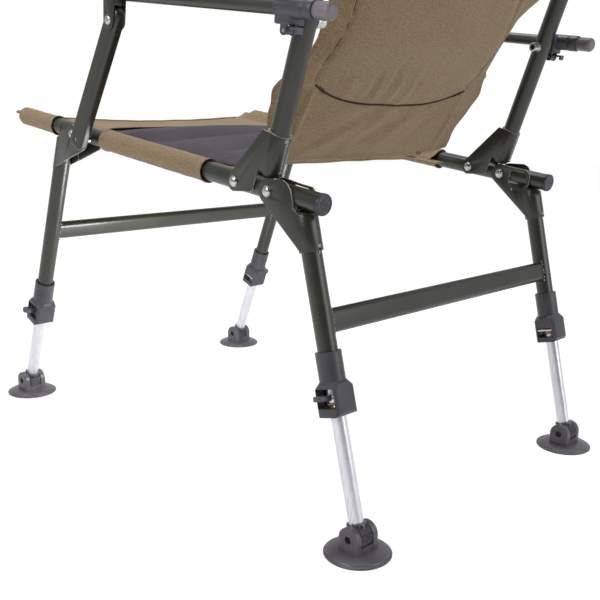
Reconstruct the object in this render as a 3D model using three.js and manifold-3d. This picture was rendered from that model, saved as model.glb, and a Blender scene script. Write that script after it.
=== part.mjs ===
// Folding carp fishing chair in millimetres, +Z up. The sitter faces -Y and their left side is +X.
// Two seat rails carry two folding leg frames, a folding backrest and two sliding armrests.
import * as THREE from 'three';
import { mergeVertices } from 'three/addons/utils/BufferGeometryUtils.js';
import Module from 'manifold-3d';

const wasm = await Module();
wasm.setup();

const degree = Math.PI / 180;
const quarterTurn = Math.PI / 2;

// Clearances and stock shared by the whole chair
const gap = 0.3;
const overrun = 2;
const tubeRadius = 12.5;
const tubeWall = 1.5;
const sheet = 2;
const barWidth = 30;
const barThick = 15;
const round = 16;
const fine = 20;
const drilled = 10;

// Seat rails, measured along the rail from the back pivot
const seatHeight = 432.3;
const railTilt = 6.6 * degree;
const railHalfSpan = 252;
const railFront = 564;
const railRear = 138;
const capThick = 6;
const capShank = 16;
const capLip = 0.7;

// Domed rivets and the bolts of the arm posts
const rivetRadius = 4;
const rivetHead = 6.5;
const rivetDome = 4;
const boltRadius = 3.2;
const boltHead = 5.5;
const boltHeadThick = 2.8;
const boltDomeShare = 0.8;

// Front legs: pivot ahead of the back pivot, tube ahead of the pivot
const frontPivotSetback = 381;
const frontPivotDrop = 3;
const frontLegTilt = 21.2 * degree;
const frontTubeLead = 39.2;
const frontEar = 14;
const frontCutDepth = 40;
const frontCutSlope = 39.5 * degree;
const creaseTop = 19;
const creaseLean = 36 * degree;
const noseInset = 0.8;
const cheekShare = 1.5;
const frontBarDepth = 188;
const frontBlockDepth = 366;

// Rear legs: pivot behind the back pivot, tube behind the pivot
const rearPivotSetback = 61;
const rearLegTilt = 15.1 * degree;
const rearTubeTrail = 43.4;
const rearEar = 15;
// Places on the bracket's edge as shares of its sleeve's radius, ahead of and below the tube's axis
const rearToeShare = 0.3;
const rearHornShare = 0.75;
const rearSeamShares = [[0, 2.2], [0.35, 1.75], [0.2, 0.85]];
const rearSleeveDepth = 80;
const rearBarDepth = 164.5;
const rearBlockDepth = 277;

// Telescopic inner legs and their ankles
const innerRadius = 9.5;
const innerWall = 1.2;
const innerEngage = 102;
const ankleHeight = 24;
const ankleRadius = 11;
const ankleHalfWidth = 8;
const neckShare = 0.8;
const ankleCollar = 11.6;
const ankleCollarFrom = 11.5;
const ankleCollarTo = 20;
const anklePin = 3.5;

// Foot discs
const footRadius = 42.5;
const footRim = 3.5;
const footCrown = 8;
const footHub = 17;
const cheekThick = 6;
const cheekRadius = 10;
const cheekRun = 13;

// Lock housings at the lower ends of the outer legs
const blockWidth = 36;
const blockChamfer = 3.5;
const blockHeight = 35;
const shoulderHeight = 9;
const sleeveHeight = 34;
const sleeveRadius = 16.2;
const toeChamfer = 5;
const toeShare = 0.2;
const blockCorner = 23.5;
const chamberWall = 3.5;
const chamberInnerWall = 4.5;
const chamberFloor = 11;
const chamberRoof = 0.5;
const ledge = 2.5;
const innerWindowWall = 5;
const innerWindowFloor = 8;
const innerWindowTop = 22;

// Lock levers: a steel plate round the inner leg with a moulded tongue
const leverTilt = 8 * degree;
const plateThick = 2.5;
const plateHole = 10.3;
const plateHalfWidth = 12.4;
const fulcrumInset = 1;
const fulcrumHeight = 19.2;
const tongueReach = 18;
const tongueHalfWidth = 8;
const tongueThick = 4.6;

// Backrest frame: a tube bent into an upside-down U behind the back pivot
const backTilt = 18.15 * degree;
const backTrail = 45.3;
const backTop = 634;
const backBend = 62;
const bendSteps = 5;
const backEar = 12;
const backSleeveTop = 80;
const backToeInset = 2.4;
const backToeRise = 3.5;
const plugRoom = 8;
const plugDepth = 18;
const armBoltHeight = 207;

// Armrests
const armSideGap = 29;
const armHalfSpan = railHalfSpan + armSideGap;
const postPivotSetback = 336;
const postLength = 191.5;
const postLean = 33.3 * degree;
const postEndRun = 4.5;
const armTilt = 6 * degree;
const armRadius = 9.5;
const armWall = 1.5;
const armBoltDrop = 11;
const armFront = 68;
const armBracketHalfWidth = 13;
const armBracketSheet = 1.8;
const armBracketPlay = 0.4;
const armBracketRound = 12;

// Clamp blocks on the armrests, measured from the clamp bolt along the arm
const clampHalfLength = 17;
const clampTop = 14;
const clampBottom = 18;
const clampOuter = 14;
const clampInnerGap = 0.8;
const clampCollar = 13;
const clampCollarEnd = 33;
const clampBoltPlay = 1.1;
const clampBoltReach = 6;
const clampBoltSocket = 8;
const clampBevel = 2;
const barrelLength = 9;
const barrelRadius = 6.5;
const screwHead = 4.8;
const screwHeadThick = 5;

// Clamp levers under the blocks
const leverHub = 4.2;
const leverDrop = 5;
const leverHalfWidth = 4.7;
const leverPin = 2;
const leverEar = 3;
const leverEarRadius = 5;
const leverTongue = 19;
const leverTongueThick = 3;
const leverLip = 7;
const leverPivotAhead = 2;

// Arm end caps and arm pads
const armCapRadius = 11;
const armCapLength = 31;
const armCapBore = 22;
const armCapShare = 0.87;
const padLength = 262;
const padInner = 13;
const padOuter = 31;
const padTop = 24;
const padBottom = 3;
const padNose = 8;
const padBevel = 6;

// Fabric seat, measured along the rail from the back pivot
const sleeveCloth = 1.5;
const seatFront = 572;
const seatRear = 46;
const frontSleeveEnd = 430;
const sleeveBoltGap = 14;
const longSleeveFront = postPivotSetback - sleeveBoltGap;
const longSleeveRear = 66;
const clothHalf = 3;
const clothInset = 6;
const clothReach = railHalfSpan - clothInset;
const notchInset = 21;
const notchReach = railHalfSpan - notchInset;
const notchRun = 4;
const hemDrop = 7;
const hemRun = 40;
const seatPadFront = 476;
const seatPadRear = 74;
const seatPadInset = 52;
const seatPadHalf = railHalfSpan - seatPadInset;
const seatPadLoft = 10;
const seatChannel = 100.5;
const seamHalf = 1.6;

// Fabric backrest, measured up the backrest frame from the back pivot
const hemLead = 37.3;
const hemHeight = -6;
const wrapHeight = 314.5;
const lowerTop = 260;
const backPadBottom = 270;
const backPadDrop = 46;
const backPadTop = backTop - backPadDrop;
const backPadInset = 56;
const backPadHalf = railHalfSpan - backPadInset;
const backPadLoft = 15;
const backChannel = 106;
const backPadEase = 60;
const lowerPadBottom = 118;
const lowerPadLoft = 7;
const rearLoft = 9;
// Heights on the back cloth and how far its edge lies inside the tube's axis there
const clothWaist = [
  [-8, 20],
  [16, 26],
  [70, 55],
  [151, 67],
  [227, 49],
  [290, 23],
  [322, 9],
];

// Colours
const finish = {
  frame: { color: 0x373a33, roughness: 0.5, metalness: 0.35 },
  cloth: { color: 0x7d6d50, roughness: 0.95, metalness: 0 },
  pad: { color: 0x2b2830, roughness: 0.95, metalness: 0 },
  plastic: { color: 0x2b2a2d, roughness: 0.6, metalness: 0 },
  light: { color: 0x6e6e72, roughness: 0.5, metalness: 0 },
  leg: { color: 0xd8d8dc, roughness: 0.35, metalness: 0.9 },
  zinc: { color: 0xc9c9c6, roughness: 0.3, metalness: 0.95 },
};
const materials = Object.fromEntries(
  Object.entries(finish).map(([name, look]) => [name, new THREE.MeshStandardMaterial(look)]),
);

// Solids

function asSolid(geometry) {
  const bare = geometry.clone();
  bare.deleteAttribute('normal');
  bare.deleteAttribute('uv');
  const welded = mergeVertices(bare, 1e-4);
  const index = welded.index.array;
  const triangles = [];
  for (let i = 0; i < index.length; i += 3) {
    const [a, b, c] = [index[i], index[i + 1], index[i + 2]];
    if (a !== b && b !== c && c !== a) triangles.push(a, b, c);
  }
  const mesh = new wasm.Mesh({
    numProp: 3,
    vertProperties: new Float32Array(welded.attributes.position.array),
    triVerts: new Uint32Array(triangles),
  });
  return new wasm.Manifold(mesh);
}

function asGeometry(solid) {
  const mesh = solid.getMesh();
  const geometry = new THREE.BufferGeometry();
  geometry.setAttribute('position', new THREE.BufferAttribute(new Float32Array(mesh.vertProperties), 3));
  geometry.setIndex(new THREE.BufferAttribute(new Uint32Array(mesh.triVerts), 1));
  const faceted = geometry.toNonIndexed();
  faceted.computeVertexNormals();
  return faceted;
}

function join(...pieces) {
  return asGeometry(pieces.map(asSolid).reduce((whole, piece) => whole.add(piece)));
}

function cut(body, ...tools) {
  return asGeometry(tools.map(asSolid).reduce((rest, tool) => rest.subtract(tool), asSolid(body)));
}

function common(a, b) {
  return asGeometry(asSolid(a).intersect(asSolid(b)));
}

function mirrored(geometry) {
  const flipped = geometry.index ? geometry.toNonIndexed() : geometry.clone();
  flipped.scale(-1, 1, 1);
  const place = flipped.attributes.position;
  for (let i = 0; i < place.count; i += 3) {
    const keep = new THREE.Vector3().fromBufferAttribute(place, i);
    const swap = new THREE.Vector3().fromBufferAttribute(place, i + 1);
    place.setXYZ(i, swap.x, swap.y, swap.z);
    place.setXYZ(i + 1, keep.x, keep.y, keep.z);
  }
  flipped.computeVertexNormals();
  return flipped;
}

// Basic forms. An upright form stands along Z, a cross form lies along X.

function box(x0, x1, y0, y1, z0, z1) {
  const block = new THREE.BoxGeometry(x1 - x0, y1 - y0, z1 - z0);
  return block.translate((x0 + x1) / 2, (y0 + y1) / 2, (z0 + z1) / 2);
}

function turned(profile, sides) {
  const points = profile.map(([radius, height]) => new THREE.Vector2(radius, height));
  return new THREE.LatheGeometry(points, sides).rotateX(quarterTurn);
}

function rod(radius, z0, z1, sides = round) {
  return turned([[0, z0], [radius, z0], [radius, z1], [0, z1]], sides);
}

function pipe(radius, wall, z0, z1, sides = round) {
  const bore = radius - wall;
  return turned([[bore, z0], [radius, z0], [radius, z1], [bore, z1], [bore, z0]], sides);
}

function across(geometry) {
  return geometry.rotateY(quarterTurn);
}

function crossRod(radius, x0, x1, y = 0, z = 0, sides = round) {
  return across(rod(radius, x0, x1, sides)).translate(0, y, z);
}

function along(geometry) {
  return geometry.rotateX(-quarterTurn);
}

// A plate cut to an outline in the Y-Z plane, between two places on X
const sideways = new THREE.Matrix4().makeBasis(
  new THREE.Vector3(0, 1, 0),
  new THREE.Vector3(0, 0, 1),
  new THREE.Vector3(1, 0, 0),
);

function plate(outline, x0, x1) {
  const shape = outline instanceof THREE.Shape ? outline : new THREE.Shape(outline);
  const slab = new THREE.ExtrudeGeometry(shape, { depth: x1 - x0, bevelEnabled: false, curveSegments: 6 });
  return slab.applyMatrix4(sideways).translate(x0, 0, 0);
}

function point(y, z) {
  return new THREE.Vector2(y, z);
}

function arc(radius, fromAngle, toAngle, steps, y = 0, z = 0) {
  const points = [];
  for (let i = 0; i <= steps; i += 1) {
    const angle = fromAngle + ((toAngle - fromAngle) * i) / steps;
    points.push(point(y + radius * Math.cos(angle), z + radius * Math.sin(angle)));
  }
  return points;
}

// A bar with a flat-oval section: two flat faces and two half-round edges
function ovalSection(width, thick, steps = 6) {
  const edge = thick / 2;
  const half = width / 2 - edge;
  return [
    ...arc(edge, 0, Math.PI, steps, 0, half),
    ...arc(edge, Math.PI, 2 * Math.PI, steps, 0, -half),
  ];
}

// A tube path through corners, each corner bent to one radius
class BentPath extends THREE.Curve {
  constructor(corners, bend, steps) {
    super();
    this.stations = [corners[0]];
    for (let i = 1; i < corners.length - 1; i += 1) {
      const into = corners[i].clone().sub(corners[i - 1]).normalize();
      const out = corners[i + 1].clone().sub(corners[i]).normalize();
      const turn = into.angleTo(out);
      const start = corners[i].clone().addScaledVector(into, -bend * Math.tan(turn / 2));
      const inward = out.clone().addScaledVector(into, -out.dot(into)).normalize();
      for (let k = 0; k <= steps; k += 1) {
        const angle = (turn * k) / steps;
        const place = start.clone().addScaledVector(into, bend * Math.sin(angle));
        this.stations.push(place.addScaledVector(inward, bend * (1 - Math.cos(angle))));
      }
    }
    this.stations.push(corners[corners.length - 1]);
  }

  getPoint(t, target = new THREE.Vector3()) {
    const last = this.stations.length - 1;
    const k = Math.min(Math.floor(t * last), last - 1);
    return target.lerpVectors(this.stations[k], this.stations[k + 1], t * last - k);
  }

  getUtoTmapping(u) {
    return u;
  }
}

function sweep(path, radius, sides = round) {
  const section = new THREE.Shape(arc(radius, 0, 2 * Math.PI, sides).slice(1));
  const steps = path.stations.length - 1;
  return new THREE.ExtrudeGeometry(section, { extrudePath: path, steps, bevelEnabled: false });
}

// A stuffed or plain cloth panel: a front and a back skin over a grid, closed round the rim
function panel({ rows, columns, place, front, back }) {
  const width = columns.length;
  const count = rows.length * width;
  const positions = [];
  for (const skin of [front, back]) {
    for (const row of rows) {
      for (const share of columns) positions.push(...place(share, row, skin(share, row)));
    }
  }
  const index = [];
  const face = (a, b, c, d) => index.push(a, b, c, a, c, d);
  for (let r = 0; r < rows.length - 1; r += 1) {
    for (let c = 0; c < width - 1; c += 1) {
      const k = r * width + c;
      face(k, k + 1, k + width + 1, k + width);
      face(count + k, count + k + width, count + k + width + 1, count + k + 1);
    }
  }
  const rim = [];
  for (let c = 0; c < width - 1; c += 1) rim.push(c);
  for (let r = 0; r < rows.length - 1; r += 1) rim.push(r * width + width - 1);
  for (let c = width - 1; c > 0; c -= 1) rim.push((rows.length - 1) * width + c);
  for (let r = rows.length - 1; r > 0; r -= 1) rim.push(r * width);
  rim.forEach((a, i) => {
    const b = rim[(i + 1) % rim.length];
    face(b, a, count + a, count + b);
  });
  const geometry = new THREE.BufferGeometry();
  geometry.setAttribute('position', new THREE.Float32BufferAttribute(positions, 3));
  geometry.setIndex(index);
  geometry.computeVertexNormals();
  return geometry;
}

function spread(from, to, steps) {
  return Array.from({ length: steps + 1 }, (_, i) => from + ((to - from) * i) / steps);
}

// Rises from a seam at each end of a channel to a rounded crown
function channel(distance, pitch) {
  return Math.sqrt(Math.abs(Math.sin((Math.PI * distance) / pitch)));
}

function drawnIn(share) {
  return Math.sqrt(1 - share ** 4);
}

// The assembly. Each folding frame is a group at its pivot.
const chair = new THREE.Group();
chair.name = 'folding_carp_chair';

function frameAt(parent, name, y, z, turn) {
  const frame = new THREE.Group();
  frame.name = name;
  frame.position.set(0, y, z);
  frame.rotation.x = turn;
  parent.add(frame);
  return frame;
}

const seat = frameAt(chair, 'seat_frame', 0, seatHeight, -railTilt);
const frontLegs = frameAt(seat, 'front_legs', -frontPivotSetback, -frontPivotDrop, railTilt - frontLegTilt);
const rearLegs = frameAt(seat, 'rear_legs', rearPivotSetback, 0, railTilt + rearLegTilt);
const backrest = frameAt(seat, 'backrest', 0, 0, railTilt - backTilt);

function add(group, name, geometry, material, x = 0, y = 0, z = 0) {
  const mesh = new THREE.Mesh(geometry, materials[material]);
  mesh.name = name;
  mesh.position.set(x, y, z);
  group.add(mesh);
  return mesh;
}

// A handed pair: the geometry is the left one, drawn with +X outboard
function addPair(group, name, geometry, material, span, y = 0, z = 0) {
  add(group, `${name}_left`, geometry, material, span, y, z);
  add(group, `${name}_right`, mirrored(geometry), material, -span, y, z);
}

// Seat rails with their holes, end caps and rivets
const flangeIn = tubeRadius + gap;
const flangeOut = flangeIn + sheet;
const postInner = armHalfSpan - railHalfSpan - barThick / 2;
const postOuter = postInner + barThick;
const clothRadius = tubeRadius + gap + sleeveCloth;

function railTube() {
  const tube = along(pipe(tubeRadius, tubeWall, -railFront, railRear));
  const reach = tubeRadius + overrun;
  const hole = (radius, y, z) => crossRod(radius + gap, -reach, reach, y, z, drilled);
  return cut(
    tube,
    hole(rivetRadius, 0, 0),
    hole(rivetRadius, rearPivotSetback, 0),
    hole(rivetRadius, -frontPivotSetback, -frontPivotDrop),
    hole(boltRadius, -postPivotSetback, -frontPivotDrop),
  );
}

function railCap() {
  const shank = tubeRadius - tubeWall - gap;
  const head = tubeRadius + capLip;
  const soft = capThick / 3;
  const profile = [
    [0, railRear - capShank],
    [shank, railRear - capShank],
    [shank, railRear + gap],
    [head, railRear + gap],
    [head, railRear + capThick - soft],
    [head - soft, railRear + capThick],
    [0, railRear + capThick],
  ];
  return along(turned(profile, round));
}

// A rivet with a dome at both ends of its grip
function rivet(radius, grip, head, dome) {
  const cap = [0, 1].map((i) => (quarterTurn * i) / 2);
  const profile = [
    [0, -grip - dome],
    ...cap.map((lift) => [head * Math.cos(lift), -grip - dome * Math.sin(lift)]).reverse(),
    [radius, -grip],
    [radius, grip],
    ...cap.map((lift) => [head * Math.cos(lift), grip + dome * Math.sin(lift)]),
    [0, grip + dome],
  ];
  return across(turned(profile, drilled));
}

function postPivotBolt() {
  const innerFace = -tubeRadius - gap;
  const spacerEnd = postInner - gap;
  const headFace = postOuter + gap;
  const profile = [
    [0, innerFace - boltHeadThick],
    [boltHead, innerFace - boltHeadThick],
    [boltHead, innerFace],
    [boltRadius, innerFace],
    [boltRadius, tubeRadius + gap],
    [boltHead, tubeRadius + gap],
    [boltHead, spacerEnd],
    [boltRadius, spacerEnd],
    [boltRadius, headFace],
    [rivetHead, headFace],
    [rivetHead * boltDomeShare, headFace + boltHeadThick],
    [0, headFace + boltHeadThick],
  ];
  return across(turned(profile, drilled));
}

const rivetGrip = flangeOut + gap;
addPair(seat, 'seat_rail', railTube(), 'frame', railHalfSpan);
addPair(seat, 'rail_rear_cap', railCap(), 'plastic', railHalfSpan);
const throughRivet = rivet(rivetRadius, rivetGrip, rivetHead, rivetDome);
addPair(seat, 'back_pivot_rivet', throughRivet, 'zinc', railHalfSpan);
addPair(seat, 'rear_leg_rivet', throughRivet, 'zinc', railHalfSpan, rearPivotSetback);
addPair(seat, 'front_leg_rivet', throughRivet, 'zinc', railHalfSpan, -frontPivotSetback, -frontPivotDrop);
addPair(seat, 'post_pivot_bolt', postPivotBolt(), 'zinc', railHalfSpan, -postPivotSetback, -frontPivotDrop);

// Leg frames. Between the flanges everything stops short of what lies round the rail's axis.
function railSpace(turn, drop, radius) {
  const reach = railFront + railRear;
  const space = box(-blockWidth, blockWidth, -reach, reach, drop - radius - gap * 2, reach);
  return space.rotateX(turn);
}

function bracketPlates(outline, inside, outside) {
  return [plate(outline, inside, outside), plate(outline, -outside, -inside)];
}

function rearLegTube() {
  const axis = rearTubeTrail;
  const sleeve = tubeRadius + sheet;
  const tubeEnd = ledge - rearBlockDepth + blockHeight;
  const stem = join(
    rod(tubeRadius, tubeEnd, 0).translate(0, axis, 0),
    rod(sleeve, -rearSleeveDepth, 0).translate(0, axis, 0),
  );
  const hollow = pipeBore(tubeEnd).translate(0, axis, 0);
  const trimmed = cut(stem, railSpace(-railTilt - rearLegTilt, 0, tubeRadius), hollow);
  const outline = [
    ...arc(rearEar, 76 * degree, 216 * degree, 7),
    point(axis - sleeve * rearToeShare, -rearSleeveDepth + sheet / 2),
    point(axis, -rearSleeveDepth + sheet / 2),
    ...rearSeamShares.map(([ahead, down]) => point(axis - sleeve * ahead, -sleeve * down)),
    point(axis - sleeve * rearHornShare, sheet / 2),
  ];
  const drill = crossRod(rivetRadius + gap, -sleeve * 2, sleeve * 2, 0, 0, drilled);
  return cut(join(trimmed, ...bracketPlates(outline, flangeIn, flangeOut)), drill);
}

// The inside of an outer leg tube, open at the bottom
function pipeBore(tubeEnd) {
  return rod(tubeRadius - tubeWall, tubeEnd - overrun, overrun);
}

function frontLegTube() {
  const axis = -frontTubeLead;
  const nose = flangeOut - noseInset;
  const tubeEnd = ledge - frontBlockDepth + blockHeight;
  // The sloping cut and the crease are straight lines in the leg's own frame
  const slope = Math.tan(frontCutSlope);
  const cutAt = (y) => slope * y - frontCutDepth;
  const lean = 1 / Math.tan(creaseLean);
  const creaseY = axis + noseInset * 3;
  const creaseAt = (z) => creaseY - (z + creaseTop) / lean;
  const below = -frontCutDepth * 2;
  const reach = postPivotSetback;
  const wedge = plate(
    [point(-reach, cutAt(-reach)), point(-reach, -reach * 2), point(reach, -reach * 2), point(reach, cutAt(reach))],
    -blockWidth,
    blockWidth,
  );
  // The rear tip passes inside the post bolt as the leg folds
  const tipRadius = frontPivotSetback - postPivotSetback - boltHead - gap * 3;
  const tipLow = -30 * degree;
  const tipHigh = 20 * degree;
  const outline = [
    point(creaseY, -creaseTop),
    point(creaseAt(below), below),
    point(tipRadius * Math.cos(tipLow), below),
    ...arc(tipRadius, tipLow, tipHigh, 4),
    ...arc(frontEar, 50 * degree, 140 * degree, 5),
  ];
  const under = noseInset * 3;
  const cheek = [
    point(axis, -creaseTop - under),
    point(axis, below * cheekShare),
    point(creaseAt(below) + under, below * cheekShare),
    point(creaseAt(below) + under, below),
    point(creaseY + under * 2, -creaseTop - under),
  ];
  const bracket = join(
    rod(nose, below * 2, 0).translate(0, axis, 0),
    ...bracketPlates(outline, flangeIn, flangeOut),
    ...bracketPlates(cheek, nose - sheet, nose),
  );
  const stem = join(cut(bracket, wedge), rod(tubeRadius, tubeEnd, 0).translate(0, axis, 0));
  const underRail = railSpace(frontLegTilt - railTilt, frontPivotDrop, clothRadius);
  const betweenFlanges = common(underRail, box(-flangeIn, flangeIn, -reach, reach, -reach, reach));
  const drill = crossRod(rivetRadius + gap, -nose * 2, nose * 2, 0, 0, drilled);
  return cut(
    stem,
    betweenFlanges,
    noseTop(axis, nose, underRail),
    pipeBore(tubeEnd).translate(0, axis, 0),
    drill,
  );
}

// What is taken off the top of the nose, ahead of the flanges
function noseTop(axis, nose, underRail) {
  const ahead = box(-nose * 2, nose * 2, axis - nose * 2, axis + noseInset, -nose * 3, nose * 3);
  return common(underRail, ahead);
}

function crossbar() {
  const reach = railHalfSpan;
  const bar = plate(new THREE.Shape(ovalSection(barWidth, barThick)), -reach, reach);
  const post = rod(tubeRadius + gap, -barWidth, barWidth);
  return cut(bar, post.clone().translate(reach, 0, 0), post.translate(-reach, 0, 0));
}

// Lock housing, drawn from the bottom of its block with +X outboard
function lockHousing() {
  const half = blockWidth / 2;
  const corner = half - blockChamfer;
  const top = blockHeight + shoulderHeight + sleeveHeight;
  const section = new THREE.Shape([
    point(half, -corner), point(half, corner), point(corner, half), point(-corner, half),
    point(-half, corner), point(-half, -corner), point(-corner, -half), point(corner, -half),
  ]);
  const prism = new THREE.ExtrudeGeometry(section, { depth: top, bevelEnabled: false });
  const body = turned([
    [0, 0],
    [blockCorner, 0],
    [blockCorner, blockHeight],
    [sleeveRadius, blockHeight + shoulderHeight],
    [sleeveRadius, top],
    [0, top],
  ], round);
  const toe = box(-half * 2, half * 2, -toeChamfer, toeChamfer, -toeChamfer, toeChamfer);
  toe.rotateX(quarterTurn / 2).translate(0, half + toeChamfer * toeShare, -toeChamfer * toeShare);
  return cut(
    common(prism, body),
    toe,
    rod(innerRadius + gap, -overrun, blockHeight + ledge * 2),
    rod(tubeRadius + gap, blockHeight + ledge - gap, top + overrun),
    box(chamberInnerWall - half, half + overrun, chamberWall - half, half - chamberWall,
      chamberFloor, blockHeight - chamberRoof),
    box(-half - overrun, 0, innerWindowWall - half, half - innerWindowWall,
      innerWindowFloor, innerWindowTop),
  );
}

// Lock lever, drawn from the fulcrum, tilted up at its outboard end
const fulcrumX = fulcrumInset - blockWidth / 2;

function lockLever() {
  const hub = -fulcrumX;
  const plateEnd = hub + blockWidth / 2 - chamberWall;
  const tip = hub + blockWidth / 2 + tongueReach;
  const blade = box(-fulcrumInset / 2, plateEnd, -plateHalfWidth, plateHalfWidth,
    -plateThick / 2, plateThick / 2);
  const tongueEnd = rod(tongueHalfWidth, -tongueThick / 2, tongueThick / 2);
  const tongue = join(
    box(plateEnd - overrun, tip - tongueHalfWidth, -tongueHalfWidth, tongueHalfWidth,
      -tongueThick / 2, tongueThick / 2),
    tongueEnd.translate(tip - tongueHalfWidth, 0, 0),
  );
  const hole = rod(plateHole, -plateThick, plateThick, fine).translate(hub, 0, 0);
  return cut(join(blade, tongue), hole).rotateY(-leverTilt);
}

function innerLeg(top) {
  return pipe(innerRadius, innerWall, ankleCollarFrom + gap * 3, top);
}

// Ankle, drawn from its pin, with a socket for the inner leg
function ankle() {
  const neck = box(-ankleHalfWidth, ankleHalfWidth, -ankleRadius * neckShare, ankleRadius * neckShare,
    0, ankleCollarFrom + sheet);
  const solid = join(
    crossRod(ankleRadius, -ankleHalfWidth, ankleHalfWidth),
    neck,
    rod(ankleCollar, ankleCollarFrom, ankleCollarTo),
  );
  return cut(
    solid,
    rod(innerRadius + gap, ankleCollarFrom + gap * 2, ankleCollarTo + overrun),
    crossRod(anklePin + gap, -ankleHalfWidth * 2, ankleHalfWidth * 2, 0, 0, drilled),
  );
}

// Foot, drawn from the ankle pin: a disc, two cheeks and the pin between them
function foot() {
  const inside = ankleHalfWidth + gap * 2;
  const outside = inside + cheekThick;
  const low = -ankleHeight;
  const disc = turned([
    [0, low],
    [footRadius - gap * 2, low],
    [footRadius, low + gap * 2],
    [footRadius, low + footRim],
    [footHub, low + footCrown],
    [0, low + footCrown],
  ], fine);
  const outline = [
    ...arc(cheekRadius, 0, Math.PI, 8),
    point(-cheekRun, low + footRim),
    point(cheekRun, low + footRim),
  ];
  return join(
    disc,
    plate(outline, inside, outside),
    plate(outline, -outside, -inside),
    crossRod(anklePin, -outside - gap * 2, outside + gap * 2, 0, 0, drilled),
  );
}

// Fills one leg frame: tubes, crossbar, locks, levers, inner legs, ankles and feet
function fillLegs(group, name, tube, axisY, pivotHeight, legTurn, barDepth, blockDepth) {
  addPair(group, `${name}_leg`, tube, 'frame', railHalfSpan);
  add(group, `${name}_crossbar`, crossbar(), 'frame', 0, axisY, -barDepth);
  addPair(group, `${name}_lock_housing`, lockHousing(), 'plastic', railHalfSpan, axisY, -blockDepth);
  const leverZ = fulcrumHeight - blockDepth;
  addPair(group, `${name}_lock_lever`, lockLever().translate(fulcrumX, 0, 0), 'plastic',
    railHalfSpan, axisY, leverZ);
  const ankleDepth = (pivotHeight + axisY * Math.sin(legTurn) - ankleHeight) / Math.cos(legTurn);
  const top = ankleDepth - blockDepth + innerEngage;
  const legEnd = frameAt(group, `${name}_ankle`, axisY, -ankleDepth, 0);
  addPair(legEnd, `${name}_inner_leg`, innerLeg(top), 'leg', railHalfSpan);
  addPair(legEnd, `${name}_ankle`, ankle(), 'plastic', railHalfSpan);
  const level = frameAt(legEnd, `${name}_foot`, 0, 0, -legTurn);
  addPair(level, `${name}_foot`, foot(), 'plastic', railHalfSpan);
}

const frontPivotHeight = seatHeight + frontPivotSetback * Math.sin(railTilt)
  - frontPivotDrop * Math.cos(railTilt);
const rearPivotHeight = seatHeight - rearPivotSetback * Math.sin(railTilt);
fillLegs(frontLegs, 'front', frontLegTube(), -frontTubeLead, frontPivotHeight, -frontLegTilt,
  frontBarDepth, frontBlockDepth);
fillLegs(rearLegs, 'rear', rearLegTube(), rearTubeTrail, rearPivotHeight, rearLegTilt,
  rearBarDepth, rearBlockDepth);

// Backrest frame. Its plugged lower ends rest on the rails at full recline.
const recline = backTilt - railTilt;
const tubeFoot = (tubeRadius + plugRoom + backTrail * Math.sin(recline)) / Math.cos(recline);

function backPath(bottom) {
  const corner = (x, z) => new THREE.Vector3(x, backTrail, z);
  const corners = [
    corner(-railHalfSpan, bottom),
    corner(-railHalfSpan, backTop),
    corner(railHalfSpan, backTop),
    corner(railHalfSpan, bottom),
  ];
  return new BentPath(corners, backBend, bendSteps);
}

function backFrame() {
  const sleeve = tubeRadius + sheet;
  const toeY = backTrail - tubeRadius + backToeInset;
  const outline = [
    ...arc(backEar, 155 * degree, 290 * degree, 7),
    point(toeY - backToeInset, 0),
    point(toeY, backToeRise),
    point(toeY, tubeFoot),
    point(backTrail, tubeFoot),
    point(backTrail, backSleeveTop - sheet),
    point(backTrail - sleeve, backSleeveTop - sheet),
  ];
  const parts = [sweep(backPath(tubeFoot), tubeRadius)];
  const holes = [];
  for (const side of [-railHalfSpan, railHalfSpan]) {
    parts.push(rod(sleeve, tubeFoot, backSleeveTop).translate(side, backTrail, 0));
    for (const sheetPlate of bracketPlates(outline, flangeIn, flangeOut)) {
      parts.push(sheetPlate.translate(side, 0, 0));
    }
    holes.push(crossRod(rivetRadius + gap, side - sleeve * 2, side + sleeve * 2, 0, 0, drilled));
    holes.push(crossRod(boltRadius + gap, side - sleeve * 2, side + sleeve * 2,
      backTrail, armBoltHeight, drilled));
    holes.push(rod(tubeRadius - tubeWall, tubeFoot - overrun, tubeFoot + plugDepth)
      .translate(side, backTrail, 0));
  }
  return cut(join(...parts), ...holes);
}

add(backrest, 'back_frame', backFrame(), 'frame');

// Bolt through the upright: a screw head and barrel inside, its end in the clamp block
function clampBolt() {
  const wall = tubeRadius + gap;
  const profile = [
    [0, -wall - barrelLength - screwHeadThick],
    [screwHead, -wall - barrelLength - screwHeadThick],
    [screwHead, -wall - barrelLength],
    [barrelRadius, -wall - barrelLength],
    [barrelRadius, -wall],
    [boltRadius, -wall],
    [boltRadius, wall + clampInnerGap + clampBoltReach],
    [0, wall + clampInnerGap + clampBoltReach],
  ];
  return across(turned(profile, drilled));
}

addPair(backrest, 'arm_clamp_bolt', clampBolt(), 'zinc', railHalfSpan, backTrail, armBoltHeight);

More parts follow.
